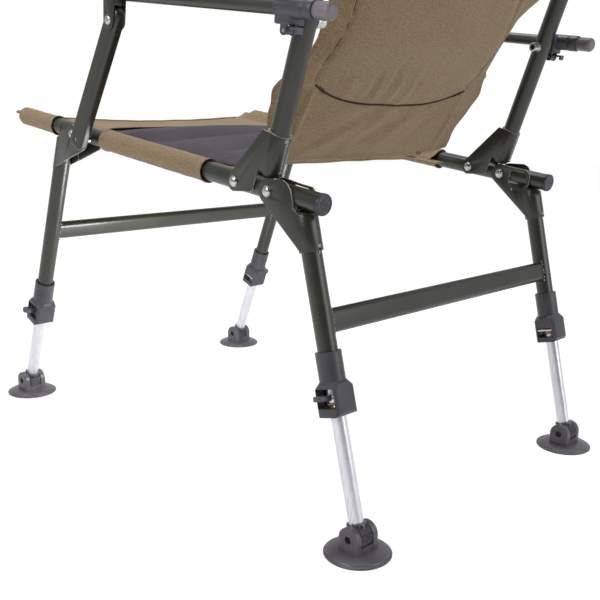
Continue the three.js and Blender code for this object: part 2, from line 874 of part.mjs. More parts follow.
// Armrests. The post leans back from its pivot, and the arm is level with the seat's slope.
const pivotY = -postPivotSetback * Math.cos(railTilt) - frontPivotDrop * Math.sin(railTilt);
const pivotZ = seatHeight + postPivotSetback * Math.sin(railTilt) - frontPivotDrop * Math.cos(railTilt);
const boltY = backTrail * Math.cos(backTilt) + armBoltHeight * Math.sin(backTilt);
const boltZ = seatHeight - backTrail * Math.sin(backTilt) + armBoltHeight * Math.cos(backTilt);
const post = frameAt(chair, 'arm_post', pivotY, pivotZ, -postLean);
const armPivotY = pivotY + postLength * Math.sin(postLean);
const armPivotZ = pivotZ + postLength * Math.cos(postLean);
const arm = frameAt(chair, 'arm', armPivotY, armPivotZ, -armTilt);
const clampAlong = (boltY - armPivotY) * Math.cos(armTilt) - (boltZ - armPivotZ) * Math.sin(armTilt);
const clampUp = (boltY - armPivotY) * Math.sin(armTilt) + (boltZ - armPivotZ) * Math.cos(armTilt);
const armRise = clampUp + armBoltDrop;
const armRear = clampAlong + clampCollarEnd + armCapBore - gap;

function armPost() {
  const end = barWidth / 2 + postEndRun;
  const edge = barThick / 2 - gap;
  const flat = barWidth / 2 - edge;
  const outline = new THREE.Shape([
    ...arc(flat, Math.PI, 2 * Math.PI, 8, 0, -postEndRun),
    ...arc(flat, 0, Math.PI, 8, 0, postLength + postEndRun),
  ]);
  const bar = new THREE.ExtrudeGeometry(outline, {
    depth: gap * 2,
    bevelEnabled: true,
    bevelThickness: edge,
    bevelSize: edge,
    bevelSegments: 3,
  });
  bar.applyMatrix4(sideways).translate(-gap, 0, 0);
  const reach = end;
  return cut(
    bar,
    crossRod(boltRadius + gap, -reach, reach, 0, 0, drilled),
    crossRod(boltRadius + gap, -reach, reach, 0, postLength, drilled),
  );
}

function armTube() {
  const inside = barThick / 2 + armBracketPlay;
  const outside = inside + armBracketSheet;
  const outline = [
    point(-armBracketHalfWidth, armRise),
    ...arc(armBracketRound, 190 * degree, 350 * degree, 7),
    point(armBracketHalfWidth, armRise),
  ];
  const tube = along(rod(armRadius, -armFront, armRear)).translate(0, 0, armRise);
  const bore = along(rod(armRadius - armWall, -armFront - overrun, armRear + overrun));
  const solid = join(tube, ...bracketPlates(outline, inside, outside));
  return cut(
    solid,
    bore.translate(0, 0, armRise),
    crossRod(boltRadius + gap, -barWidth, barWidth, 0, 0, drilled),
  );
}

function postTopBolt() {
  const face = barThick / 2 + armBracketPlay + armBracketSheet + gap;
  return rivet(boltRadius, face, rivetHead, boltHeadThick);
}

addPair(post, 'arm_post', armPost(), 'frame', armHalfSpan);
addPair(arm, 'arm_tube', armTube(), 'frame', armHalfSpan);
addPair(arm, 'arm_hinge_bolt', postTopBolt(), 'zinc', armHalfSpan);

function armCap() {
  const start = clampAlong + clampCollarEnd + gap * 2;
  const end = start + armCapLength;
  const soft = armCapRadius / 2;
  const profile = [
    [armRadius + gap, start],
    [armCapRadius, start],
    [armCapRadius, end - soft],
    [armCapRadius * armCapShare, end - soft / 2],
    [soft, end],
    [0, end],
    [0, start + armCapBore],
    [armRadius + gap, start + armCapBore],
    [armRadius + gap, start],
  ];
  return along(turned(profile, round));
}

addPair(arm, 'arm_end_cap', armCap(), 'light', armHalfSpan, 0, armRise);

// Arm pad, a moulded rest that saddles the tube and turns down over its front end
function armPad() {
  const front = -armFront - gap - padNose;
  const back = front + padLength;
  const corner = (padInner + padOuter) / 2 - padBevel;
  const x0 = padBevel - padInner;
  const x1 = padOuter - padBevel;
  const y0 = front + padBevel;
  const y1 = back - padBevel;
  const outline = new THREE.Shape([
    ...arc(corner, Math.PI, 2 * Math.PI, 6, x0 + corner, y0 + corner),
    ...arc(corner, 0, Math.PI, 6, x1 - corner, y1 - corner),
  ]);
  const cushion = new THREE.ExtrudeGeometry(outline, {
    depth: padTop - padBottom - padBevel * 2,
    bevelEnabled: true,
    bevelThickness: padBevel,
    bevelSize: padBevel,
    bevelSegments: 2,
  }).translate(0, 0, padBottom + padBevel);
  const nose = along(rod(armRadius + sheet, front + padNose / 2, -armFront - gap));
  const lift = box(-armRadius, armRadius, front + padNose / 2, -armFront - gap, 0, padBottom + padBevel);
  const groove = along(rod(armRadius + gap, -armFront - gap, back + overrun));
  return cut(join(cushion, nose, lift), groove);
}

addPair(arm, 'arm_pad', armPad(), 'plastic', armHalfSpan, 0, armRise);

// Clamp block, drawn from the arm's axis above the clamp bolt
const clampInner = -(armHalfSpan - railHalfSpan - tubeRadius - clampInnerGap);
const leverY = leverPivotAhead;
const leverZ = -clampBottom - leverDrop;

function clampBlock() {
  const y0 = clampBevel - clampHalfLength;
  const y1 = clampHalfLength - clampBevel;
  const z0 = clampBevel - clampBottom;
  const z1 = clampTop - clampBevel;
  const outline = new THREE.Shape([point(y0, z0), point(y1, z0), point(y1, z1), point(y0, z1)]);
  const body = new THREE.ExtrudeGeometry(outline, {
    depth: clampOuter - clampInner - clampBevel * 2,
    bevelEnabled: true,
    bevelThickness: clampBevel,
    bevelSize: clampBevel,
    bevelSegments: 2,
  }).applyMatrix4(sideways).translate(clampInner + clampBevel, 0, 0);
  const ear = [
    ...arc(leverEarRadius, Math.PI, 2 * Math.PI, 6, leverY, leverZ),
    point(leverY + leverEarRadius, -clampBottom + sheet),
    point(leverY - leverEarRadius, -clampBottom + sheet),
  ];
  const inside = leverHalfWidth + gap;
  const solid = join(
    body,
    along(rod(clampCollar, 0, clampCollarEnd)),
    plate(ear, inside, inside + leverEar),
    plate(ear, -inside - leverEar, -inside),
  );
  return cut(
    solid,
    along(rod(armRadius + gap, -clampHalfLength - overrun, clampCollarEnd + overrun)),
    crossRod(boltRadius + clampBoltPlay, clampInner - overrun, clampInner + clampBoltSocket,
      0, -armBoltDrop),
    crossRod(leverPin + gap, -barWidth, barWidth, leverY, leverZ, drilled),
  );
}

// Clamp lever, drawn from its pin: a cam hub, a tongue to the rear and a turned-down lip
function clampLever() {
  const top = leverDrop - gap * 2;
  const profile = [
    point(0, top),
    point(leverTongue, top),
    point(leverTongue, top - leverLip),
    point(leverTongue - leverTongueThick, top - leverLip),
    point(leverTongue - leverTongueThick, top - leverTongueThick),
    point(leverHub / 2, top - leverTongueThick),
    point(0, 0),
  ].reverse();
  return join(
    plate(profile, -leverHalfWidth, leverHalfWidth),
    crossRod(leverHub, -leverHalfWidth, leverHalfWidth, 0, 0, drilled),
    crossRod(leverPin, -leverHalfWidth - leverEar, leverHalfWidth + leverEar, 0, 0, drilled),
  );
}

const clamp = frameAt(arm, 'arm_clamp', clampAlong, armRise, 0);
addPair(clamp, 'arm_clamp_block', clampBlock(), 'plastic', armHalfSpan);
addPair(clamp, 'arm_clamp_lever', clampLever(), 'plastic', armHalfSpan, leverY, leverZ);

// Seat cloth: one panel with a sleeve over each rail, open where the front legs are hinged

function seatCover() {
  const wide = clothReach;
  const rows = [
    [-seatFront, wide], [-seatFront + hemRun / 4, wide], [-seatFront + hemRun, wide],
    [-frontSleeveEnd - notchRun, wide], [-frontSleeveEnd, notchReach],
    [-longSleeveFront, notchReach], [-longSleeveFront + notchRun, wide],
    [-longSleeveFront / 2, wide],
    [-longSleeveRear - notchRun, wide], [-longSleeveRear, notchReach], [-seatRear, notchReach],
  ];
  const hem = (y) => Math.max(0, (-y - seatFront + hemRun) / hemRun) ** 2 * hemDrop;
  const columns = spread(-1, 1, 10);
  const cloth = panel({
    rows,
    columns,
    place: (share, [y, half], lift) => [share * half, y, lift - hem(y)],
    front: () => clothHalf,
    back: () => -clothHalf,
  });
  const bores = [];
  const sleeves = [];
  for (const side of [-railHalfSpan, railHalfSpan]) {
    sleeves.push(along(rod(clothRadius, -seatFront, -frontSleeveEnd)).translate(side, 0, 0));
    sleeves.push(along(rod(clothRadius, -longSleeveFront, -longSleeveRear)).translate(side, 0, 0));
    bores.push(along(rod(tubeRadius + gap, -railFront - gap, railRear)).translate(side, 0, 0));
  }
  return cut(join(cloth, ...sleeves), ...bores);
}

function seatPad() {
  const steps = 5 * Math.round((seatPadFront - seatPadRear) / seatChannel);
  return panel({
    rows: spread(-seatPadFront, -seatPadRear, steps),
    columns: spread(-1, 1, 10),
    place: (share, y, lift) => [share * seatPadHalf, y, clothHalf + gap + lift],
    front: (share, y) => seamHalf + seatPadLoft * drawnIn(share) * channel(y + seatPadFront, seatChannel),
    back: () => 0,
  });
}

add(seat, 'seat_cover', seatCover(), 'cloth');
add(seat, 'seat_pad', seatPad(), 'pad');

// Back cloth. Below the sleeves it hangs ahead of the frame, down to the rear of the seat.
function clothPlane(z) {
  const lean = (backTrail + hemLead) / (wrapHeight - hemHeight);
  return z < wrapHeight ? backTrail - (wrapHeight - z) * lean : backTrail;
}

const waist = new THREE.SplineCurve(clothWaist.map(([z, inset]) => point(z, railHalfSpan - inset)));
const waistPoints = waist.getPoints(60);

function clothHalfAt(z) {
  const next = waistPoints.findIndex((place) => place.x > z);
  if (next < 1) return railHalfSpan - clothWaist[clothWaist.length - 1][1];
  const [a, b] = [waistPoints[next - 1], waistPoints[next]];
  return a.y + ((b.y - a.y) * (z - a.x)) / (b.x - a.x);
}

function backCoverUpper() {
  const rows = [
    ...spread(lowerTop + gap, wrapHeight - notchRun, 2),
    ...spread(wrapHeight, backTop - backBend, 9),
    ...spread(backTop - backBend / 2, backTop, 1),
  ];
  const crown = (share, z) => {
    const ease = Math.min(1, (backTop - z) / backPadEase);
    return rearLoft * drawnIn(share) * channel(z - wrapHeight, backChannel) * Math.max(0, ease);
  };
  const cloth = panel({
    rows,
    columns: spread(-1, 1, 10),
    place: (share, z, lift) => {
      const shoulder = Math.max(0, z - backTop + backBend);
      const bend = backBend - Math.sqrt(Math.max(0, backBend ** 2 - shoulder ** 2));
      return [share * (clothHalfAt(z) - bend), clothPlane(z) + lift, z];
    },
    front: () => -clothHalf,
    back: (share, z) => clothHalf + (z > wrapHeight ? crown(share, z) : 0),
  });
  const sleeve = sweep(backPath(wrapHeight), clothRadius);
  const bore = sweep(backPath(backSleeveTop), tubeRadius + gap);
  return cut(join(cloth, sleeve), bore);
}

function backCoverLower() {
  const rows = spread(hemHeight, lowerTop, 12);
  const padded = (z) => Math.max(0, channel(z - lowerPadBottom, lowerTop - lowerPadBottom));
  return panel({
    rows,
    columns: spread(-1, 1, 8),
    place: (share, z, lift) => [share * clothHalfAt(z), clothPlane(z) + lift, z],
    front: () => -clothHalf,
    back: (share, z) => {
      const loft = z > lowerPadBottom ? lowerPadLoft * drawnIn(share) * padded(z) : 0;
      return clothHalf + loft;
    },
  });
}

function backPad() {
  const channels = Math.round((backPadTop - backPadBottom) / backChannel);
  const pitch = (backPadTop - backPadBottom) / channels;
  return panel({
    rows: spread(backPadBottom, backPadTop, 5 * channels),
    columns: spread(-1, 1, 10),
    place: (share, z, lift) => [share * backPadHalf, clothPlane(z) - clothHalf - gap + lift, z],
    front: (share, z) => -seamHalf - backPadLoft * drawnIn(share) * channel(z - backPadBottom, pitch),
    back: () => 0,
  });
}

add(backrest, 'back_cover_upper', backCoverUpper(), 'cloth');
add(backrest, 'back_cover_lower', backCoverLower(), 'cloth');
add(backrest, 'back_pad', backPad(), 'pad');

// The chair stands on the floor with its box centred on the origin
chair.updateMatrixWorld(true);
const bounds = new THREE.Box3().setFromObject(chair, true);
chair.position.y = -(bounds.min.y + bounds.max.y) / 2;
chair.position.z = -bounds.min.z;

export default chair;
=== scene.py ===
"""A folding carp fishing chair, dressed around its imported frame."""

import math

import bmesh
import bpy
from mathutils import Matrix, Vector, noise


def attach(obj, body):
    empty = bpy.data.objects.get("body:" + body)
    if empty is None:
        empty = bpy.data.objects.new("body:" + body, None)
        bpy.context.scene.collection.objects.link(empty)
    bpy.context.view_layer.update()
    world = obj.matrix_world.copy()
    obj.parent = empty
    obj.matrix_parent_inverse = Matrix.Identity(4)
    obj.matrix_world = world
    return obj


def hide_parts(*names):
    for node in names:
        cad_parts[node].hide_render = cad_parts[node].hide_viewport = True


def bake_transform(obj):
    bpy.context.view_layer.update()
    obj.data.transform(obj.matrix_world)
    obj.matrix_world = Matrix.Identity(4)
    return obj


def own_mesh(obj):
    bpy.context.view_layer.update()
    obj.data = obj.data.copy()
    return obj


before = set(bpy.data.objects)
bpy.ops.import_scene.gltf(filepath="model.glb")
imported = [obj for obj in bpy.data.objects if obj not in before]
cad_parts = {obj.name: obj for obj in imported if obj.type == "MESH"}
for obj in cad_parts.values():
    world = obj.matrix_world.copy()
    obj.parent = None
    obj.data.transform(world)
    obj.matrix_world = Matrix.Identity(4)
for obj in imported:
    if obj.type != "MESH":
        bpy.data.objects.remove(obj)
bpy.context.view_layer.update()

MM = 0.001
SMOOTH = 48
SIDES = {"left": 1, "right": -1}
ACROSS = Matrix.Rotation(math.radians(90), 4, "Y")
ALONG = Matrix.Rotation(math.radians(-90), 4, "X")


def frame_at(y, z, tilt):
    """A folding frame's pivot in millimetres, and its tilt in degrees."""
    return Matrix.Translation((0, y, z)) @ Matrix.Rotation(math.radians(tilt), 4, "X")


SEAT = frame_at(190.62, 432.3, -6.6)
BACK = frame_at(190.62, 432.3, -18.15)
POST = frame_at(-143.498, 467.939, -33.3)
ARM = frame_at(-38.36, 627.996, -6)
CLAMP = frame_at(299.298, 625.829, -6)
LEG_TILT = {"front": -21.2, "rear": 15.1}
LEGS = {end: frame_at(y, z, LEG_TILT[end]) for end, y, z in (("front", -188.2, 473.111), ("rear", 251.216, 425.289))}
FOOT_Y = {"front": -404.444, "rear": 404.444}
FOOT_RISE = 24
ANKLE = {end: frame_at(y, FOOT_RISE, LEG_TILT[end]) for end, y in FOOT_Y.items()}
FOOT = {end: frame_at(y, FOOT_RISE, 0) for end, y in FOOT_Y.items()}

# Stock sizes in millimetres
RAIL_SPAN = 252
ARM_SPAN = 281
TUBE = 12.5
WALL = 1.5
SHEET = 2
GAP = 0.3
FLANGE_IN = TUBE + GAP
FLANGE_OUT = FLANGE_IN + SHEET
INNER = 9.5
RIVET_HOLE = 4.3
BOLT_HOLE = 3.5
RAIL_DROP = 3
RAIL_TURN = {"front": 14.6, "rear": -21.7}
LEG_AXIS = {"front": -39.2, "rear": 43.4}
BAR_DEPTH = {"front": 188, "rear": 164.5}
BLOCK_DEPTH = {"front": 366, "rear": 277}
INNER_TOP = {"front": 232.9, "rear": 252.3}
TUBE_FOOT = {"front": -328.5, "rear": -239.5}
FULCRUM = 17
LEVER_RISE = 19.2
RAIL_FRONT = 546
RAIL_REAR = 138
REAR_RIVET = 61
FRONT_RIVET = -381
POST_BOLT = -336
BACK_TRAIL = 45.3
BACK_TOP = 634
BACK_BEND = 62
UPRIGHT_FOOT = 30.18
CLAMP_BOLT_RISE = 207
CLAMP_ALONG = 336.035
CAM_PIN = (2, -23)
ARM_RISE = 33.14
ARM_REAR = 390.7
ARM_TUBE = 8


def given(thing, **settings):
    """A Blender thing with its settings made."""
    for setting, value in settings.items():
        setattr(thing, setting, value)
    return thing


def placed(name, data):
    """A new object in the scene."""
    made = bpy.data.objects.new(name, data)
    bpy.context.scene.collection.objects.link(made)
    return made


# Camera, light and floor

def camera():
    """The photograph's camera, from a fit of the frame's rivets and tubes."""
    yaw, pitch, roll = (math.radians(a) for a in (45.8, 16.17, 1.36))
    look = Vector((-math.sin(yaw) * math.cos(pitch), -math.cos(yaw) * math.cos(pitch), -math.sin(pitch)))
    level = look.cross(Vector((0, 0, 1))).normalized()
    upward = level.cross(look)
    right = level * math.cos(roll) + upward * math.sin(roll)
    top = upward * math.cos(roll) - level * math.sin(roll)
    data = given(bpy.data.cameras.new("camera"), lens=51.07, sensor_width=36, shift_x=-0.0206, shift_y=0.079,
                 clip_start=0.02)
    turn = Matrix((right, top, -look)).transposed().to_4x4()
    view = given(placed("camera", data), matrix_world=Matrix.Translation((0.96221, 1.00966, 0.53054)) @ turn)
    bpy.context.scene.camera = view


def area_light(name, place, target, size, watts):
    data = given(bpy.data.lights.new(name, "AREA"), shape="DISK", size=size, energy=watts)
    aim = (Vector(target) - Vector(place)).to_track_quat("-Z", "Y")
    given(placed(name, data), visible_camera=False, location=place, rotation_mode="QUATERNION", rotation_quaternion=aim)


# Shader maths as plain expressions

class Value:
    """What a shader node gives: a number, a colour or a vector."""

    def __init__(self, nodes, socket):
        self.nodes = nodes
        self.socket = socket

    def maths(self, operation, second=0.5):
        return self.nodes.node("ShaderNodeMath", {0: self, 1: second}, operation=operation)

    def __add__(self, other):
        return self.maths("ADD", other)

    def __sub__(self, other):
        return self.maths("SUBTRACT", other)

    def __mul__(self, other):
        return self.maths("MULTIPLY", other)

    def sine(self):
        return self.maths("SINE")

    def size(self):
        return self.maths("ABSOLUTE")

    def clamped(self, low, high, to_low, to_high):
        """This value taken from low..high to to_low..to_high, and held there."""
        limits = {"Value": self, "From Min": low, "From Max": high, "To Min": to_low, "To Max": to_high}
        return self.nodes.node("ShaderNodeMapRange", limits, clamp=True)

    def part(self, axis):
        return self.nodes.node("ShaderNodeSeparateXYZ", {0: self}, "XYZ".index(axis))


class Nodes:
    """The node tree of a material or of the world."""

    def __init__(self, owner, output):
        self.tree = given(owner, use_nodes=True).node_tree
        self.tree.nodes.clear()
        self.output = self.raw(output)

    def raw(self, kind, inputs=None, **settings):
        made = given(self.tree.nodes.new(kind), **settings)
        for key, value in (inputs or {}).items():
            if isinstance(value, Value):
                self.tree.links.new(value.socket, made.inputs[key])
            else:
                made.inputs[key].default_value = value
        return made

    def node(self, kind, inputs=None, output=0, **settings):
        return Value(self, self.raw(kind, inputs, **settings).outputs[output])

    def rays(self, kind):
        """1 for the rays of a kind, such as Camera, and 0 for the others."""
        return self.node("ShaderNodeLightPath", output=f"Is {kind} Ray")

    def show(self, value):
        self.tree.links.new(value.socket, self.output.inputs[0])


class Finish(Nodes):
    """A procedural material and its slot. Its constants sit on the shader's own sockets."""

    def __init__(self, slot, name, **constants):
        self.slot = slot
        self.material = bpy.data.materials.new(name)
        super().__init__(self.material, "ShaderNodeOutputMaterial")
        self.shader = self.raw("ShaderNodeBsdfPrincipled")
        self.tree.links.new(self.shader.outputs[0], self.output.inputs[0])
        for socket, value in constants.items():
            self.shader.inputs[socket.replace("_", " ")].default_value = value

    def place(self, scale=(1, 1, 1), turn=(0, 0, 0)):
        """Where a point is on the piece, in metres, turned and scaled."""
        spot = self.node("ShaderNodeTexCoord", output="Object")
        return self.node("ShaderNodeMapping", {"Vector": spot, "Rotation": turn, "Scale": scale})

    def noise(self, spot, scale, detail=3, roughness=0.5):
        return self.node("ShaderNodeTexNoise",
                         {"Vector": spot, "Scale": scale, "Detail": detail, "Roughness": roughness})

    def ramp(self, value, code, *stops):
        """A colour code made darker or lighter by the share at each stop along a value."""
        made = self.raw("ShaderNodeValToRGB", {0: value})
        ramp = made.color_ramp.elements
        while len(ramp) < len(stops):
            ramp.new(0.5)
        for stop, (place, share) in zip(ramp, stops):
            stop.position = place
            stop.color = (*(c * share for c in linear(code)), 1)
        return Value(self, made.outputs[0])

    def blend(self, factor, first, second):
        return self.node("ShaderNodeMix", {0: factor, 6: first, 7: second}, 2, data_type="RGBA")

    def bump(self, height, strength, distance):
        return self.node("ShaderNodeBump", {"Height": height, "Strength": strength, "Distance": distance})

    def wear(self, **links):
        """Links the shader's sockets and gives the slot and the material."""
        for socket, value in links.items():
            self.tree.links.new(value.socket, self.shader.inputs[socket.replace("_", " ")])
        return self.slot, self.material


def linear(code):
    """A colour code as the shader's linear red, green and blue."""
    parts = [int(code[i:i + 2], 16) / 255 for i in (0, 2, 4)]
    return tuple(c / 12.92 if c <= 0.04045 else ((c + 0.055) / 1.055) ** 2.4 for c in parts)


def powder_coat(name, code, gloss=0.22):
    """Fine-grained olive paint, a little cloudy, with a painted highlight in a pale colour on the cut edges of the
    sheet.
    """
    look = Finish("frame_paint", name, Specular_IOR_Level=0.5, Coat_Weight=0.16, Coat_Roughness=0.2)
    spot = look.place()
    grain = look.noise(spot, 900, 4, 0.6)
    cloud = look.noise(spot, 14)
    painted_edge_highlight = look.node("ShaderNodeAttribute", output="Fac", attribute_name="painted_edge_highlight")
    patchy = painted_edge_highlight * look.noise(spot, 160, 4).clamped(0.34, 0.5, 0.35, 1)
    # The pale colour a39c92 on the marked edges, in patches, is a painted highlight.
    colour = look.blend(patchy, look.ramp(cloud, code, (0.3, 0.84), (0.7, 1.18)), (*linear("a39c92"), 1))
    rough = cloud * 0.14 + grain * 0.1 + gloss
    return look.wear(Base_Color=colour, Roughness=rough, Normal=look.bump(grain, 0.22, 0.0002))


def moulded_plastic(name, code, rough=0.5, grain_share=0.3, slot="dark_plastic"):
    """Moulded plastic with a fine spark-eroded grain and a cloudy tone, lighter and darker in patches."""
    look = Finish(slot, name, Specular_IOR_Level=0.45)
    spot = look.place()
    grain = look.noise(spot, 1300, 3, 0.55)
    cloud = look.noise(spot, 32, 4)
    return look.wear(Base_Color=look.ramp(cloud, code, (0.32, 0.82), (0.68, 1.2)),
                     Roughness=cloud * 0.2 + rough - 0.1, Normal=look.bump(grain, grain_share, 0.0002))


def brushed_tube(name, code, tilt):
    """Satin tube with a fine grain along its length, tilted as the leg is."""
    look = Finish("satin_aluminium", name, Metallic=0.8, Specular_IOR_Level=0.6)
    grain = look.noise(look.place((260, 260, 5), (math.radians(-tilt), 0, 0)), 1.6, 2)
    smear = look.noise(look.place(), 24)
    return look.wear(Base_Color=look.ramp(grain * 0.55 + smear * 0.45, code, (0.36, 0.86), (0.62, 1.04)),
                     Roughness=grain * 0.06 + 0.26)


def bright_metal(name, code, rough=0.24):
    look = Finish("zinc", name, Metallic=0.95)
    cloud = look.noise(look.place(), 260)
    return look.wear(Base_Color=look.ramp(cloud, code, (0.35, 0.72), (0.65, 1.05)),
                     Roughness=cloud * 0.2 + rough - 0.08, Normal=look.bump(cloud, 0.08, 0.0003))


def woven_cloth(name, code, pitch, contrast, soft, slot="khaki_cloth"):
    """Plain-woven cloth: warp and weft over and under, uneven threads, slow fading."""
    look = Finish(slot, name, Specular_IOR_Level=0.2, Sheen_Weight=soft, Sheen_Roughness=0.5)
    spot = look.node("ShaderNodeUVMap", uv_map="weave")
    warp, weft = ((spot.part(axis) * (math.tau / pitch)).sine() for axis in "XY")
    weave = warp.size() * 0.5 + weft.size() * 0.5 + warp * weft * 0.35
    across, down = (look.noise(look.node("ShaderNodeMapping", {"Vector": spot, "Scale": scale}), 1, 2)
                    for scale in ((60, 900, 1), (900, 60, 1)))
    threads = across * 0.5 + down * 0.5
    cloud = look.noise(look.place(), 9, 4, 0.55)
    speck = look.noise(spot, 360, 2, 0.7)
    tone = threads * contrast + cloud * 0.3 + weave * 0.12 + speck * 1.1 + (-0.26 - contrast / 2)
    return look.wear(Base_Color=look.ramp(tone, code, (0.3, 0.72), (0.5, 1.0), (0.72, 1.3)),
                     Roughness=threads * 0.12 + 0.82, Normal=look.bump(weave + threads * 0.6, 0.5, 0.0005))


PAINT = powder_coat("olive_powder_coat", "26271f")
# Welds wear a pale, glossy copy of the frame paint: a painted highlight on the beads.
WELD_HIGHLIGHT_PAINT = powder_coat("painted_weld", "8c8a80", 0.04)
PLASTIC = moulded_plastic("dark_moulded_plastic", "3a3940", 0.38)
FOOT_PLASTIC = moulded_plastic("grey_black_moulded_plastic", "524f57", 0.34)
LEVER_PLASTIC = moulded_plastic("blue_grey_moulded_plastic", "474a52", 0.38)
LIGHT_PLASTIC = moulded_plastic("grey_moulded_plastic", "6b6569", 0.42, slot="grey_plastic")
PAD_PLASTIC = moulded_plastic("soft_grip_plastic", "2c2b2e", 0.6, 0.5)
# A near-black disc at the floor of the bolt's socket: painted shade in the recess.
SOCKET_SHADE = moulded_plastic("dark_recess", "141316", slot="zinc")
ZINC = bright_metal("bright_zinc", "c9c9c6")
BRONZE = bright_metal("dark_pin", "3b3431", 0.4)
COPPER = bright_metal("coppered_spring_wire", "c2a08c", 0.26)
SATIN = {end: brushed_tube(f"satin_aluminium_{end}", "dcdae2", tilt) for end, tilt in LEG_TILT.items()}
KHAKI = woven_cloth("khaki_woven_cloth", "806c50", 0.0009, 0.85, 0.2)
CHARCOAL = woven_cloth("charcoal_pad_cloth", "403a43", 0.0007, 0.7, 0.12, "charcoal_pad")
# Dark cord cloth. On the back's piping its dark colour is partly painted shade under the upper panel's edge; in the
# pad's seams it is painted shade.
PIPING_AND_SHADE_CORD = woven_cloth("dark_piping", "2e241a", 0.0006, 0.5, 0.05)
# A darker copy of the khaki for cords down the back's seams: painted shade in the seams' creases.
SEAM_SHADE = woven_cloth("shaded_seam", "4c3e2e", 0.0006, 0.5, 0.1)
THREAD = moulded_plastic("sewing_thread", "5c4f38", 0.7, slot="khaki_cloth")
DARK_THREAD = moulded_plastic("dark_sewing_thread", "1f1b19", 0.7, slot="khaki_cloth")


# Forms, drawn in millimetres. An upright form stands along Z, a cross form lies along X.

def shaped(bm, matrix):
    bmesh.ops.transform(bm, matrix=matrix, verts=bm.verts)
    return bm


def spun(bm, degrees, axis="X"):
    return shaped(bm, Matrix.Rotation(math.radians(degrees), 4, axis))


def lathe(profile, sides=SMOOTH):
    bm = bmesh.new()
    points = [bm.verts.new((radius, 0, height)) for radius, height in profile]
    rim = [bm.edges.new(pair) for pair in zip(points, points[1:])]
    bmesh.ops.spin(bm, geom=points + rim, cent=(0, 0, 0), axis=(0, 0, 1), angle=math.tau,
                   steps=sides, use_merge=True)
    bmesh.ops.remove_doubles(bm, verts=bm.verts, dist=0.001)
    bmesh.ops.recalc_face_normals(bm, faces=bm.faces)
    return bm


def rod(radius, z0, z1, sides=SMOOTH):
    return lathe([(0, z0), (radius, z0), (radius, z1), (0, z1)], sides)


def pipe(radius, wall, z0, z1):
    """A tube whose outer rims are eased."""
    bore, ease = radius - wall, 0.4
    return lathe([(bore, z0), (radius - ease, z0), (radius, z0 + ease), (radius, z1 - ease),
                  (radius - ease, z1), (bore, z1), (bore, z0)])


def moved(bm, x=0, y=0, z=0):
    return shaped(bm, Matrix.Translation((x, y, z)))


def cross_rod(radius, x0, x1, y=0, z=0, sides=SMOOTH):
    return moved(shaped(rod(radius, x0, x1, sides), ACROSS), 0, y, z)


def block(x0, x1, y0, y1, z0, z1):
    bm = bmesh.new()
    bmesh.ops.create_cube(bm, size=1)
    bmesh.ops.scale(bm, vec=(x1 - x0, y1 - y0, z1 - z0), verts=bm.verts)
    return moved(bm, (x0 + x1) / 2, (y0 + y1) / 2, (z0 + z1) / 2)


def arc(radius, start, end, steps, y=0, z=0):
    angles = (math.radians(start + (end - start) * i / steps) for i in range(steps + 1))
    return [(y + radius * math.cos(a), z + radius * math.sin(a)) for a in angles]


def slab(outline, x0, x1):
    """A plate cut to an outline in the Y-Z plane, between two places on X."""
    bm = bmesh.new()
    face = bm.faces.new([bm.verts.new((x0, y, z)) for y, z in outline])
    grown = bmesh.ops.extrude_face_region(bm, geom=[face])["geom"]
    lifted = [v for v in grown if isinstance(v, bmesh.types.BMVert)]
    bmesh.ops.translate(bm, verts=lifted, vec=(x1 - x0, 0, 0))
    bmesh.ops.recalc_face_normals(bm, faces=bm.faces)
    return bm


def work_object(bm):
    mesh = bpy.data.meshes.new("work")
    bm.to_mesh(mesh)
    bm.free()
    return placed("work", mesh)


def fused(first, adds=(), cuts=(), keeps=()):
    """One solid from several: adds are joined on, keeps limit what is left, and cuts are taken off."""
    spent = [work_object(first)]
    base = spent[0]
    for operation, forms in (("UNION", adds), ("INTERSECT", keeps), ("DIFFERENCE", cuts)):
        for form in forms:
            spent.append(work_object(form))
            given(base.modifiers.new(operation, "BOOLEAN"), operation=operation, solver="EXACT", object=spent[-1])
    made = bmesh.new()
    made.from_object(base, bpy.context.evaluated_depsgraph_get())
    for helper in spent:
        mesh = helper.data
        bpy.data.objects.remove(helper)
        bpy.data.meshes.remove(mesh)
    bmesh.ops.remove_doubles(made, verts=made.verts, dist=0.01)
    bmesh.ops.dissolve_limit(made, angle_limit=math.radians(0.5), verts=made.verts, edges=made.edges)
    return made


def painted_edge_highlight(bm, cut):
    """Marks the faces that cut(middle, normal) picks as sheet edges that get a painted highlight."""
    mark = bm.faces.layers.float.new("painted_edge_highlight")
    bm.normal_update()
    for face in bm.faces:
        if cut(face.calc_center_median(), face.normal):
            face[mark] = 1
    return bm


def on_flange(spot, normal):
    """Whether a face is on the cut edge of a pressed flange."""
    return abs(normal.x) < 0.8 and abs(abs(spot.x) - (FLANGE_IN + SHEET / 2)) < 1


def softened(bm, width, angle=35, segments=2, below=1000, slide=True):
    """Rounds every edge below a height that is sharper than an angle."""
    sharp = [e for e in bm.edges if e.is_manifold and e.calc_face_angle(0) > math.radians(angle)
             and max(v.co.z for v in e.verts) < below]
    bmesh.ops.bevel(bm, geom=sharp, offset=width, offset_type="OFFSET", segments=segments, profile=0.5,
                    affect="EDGES", clamp_overlap=False, material=-1, loop_slide=slide)
    return bm


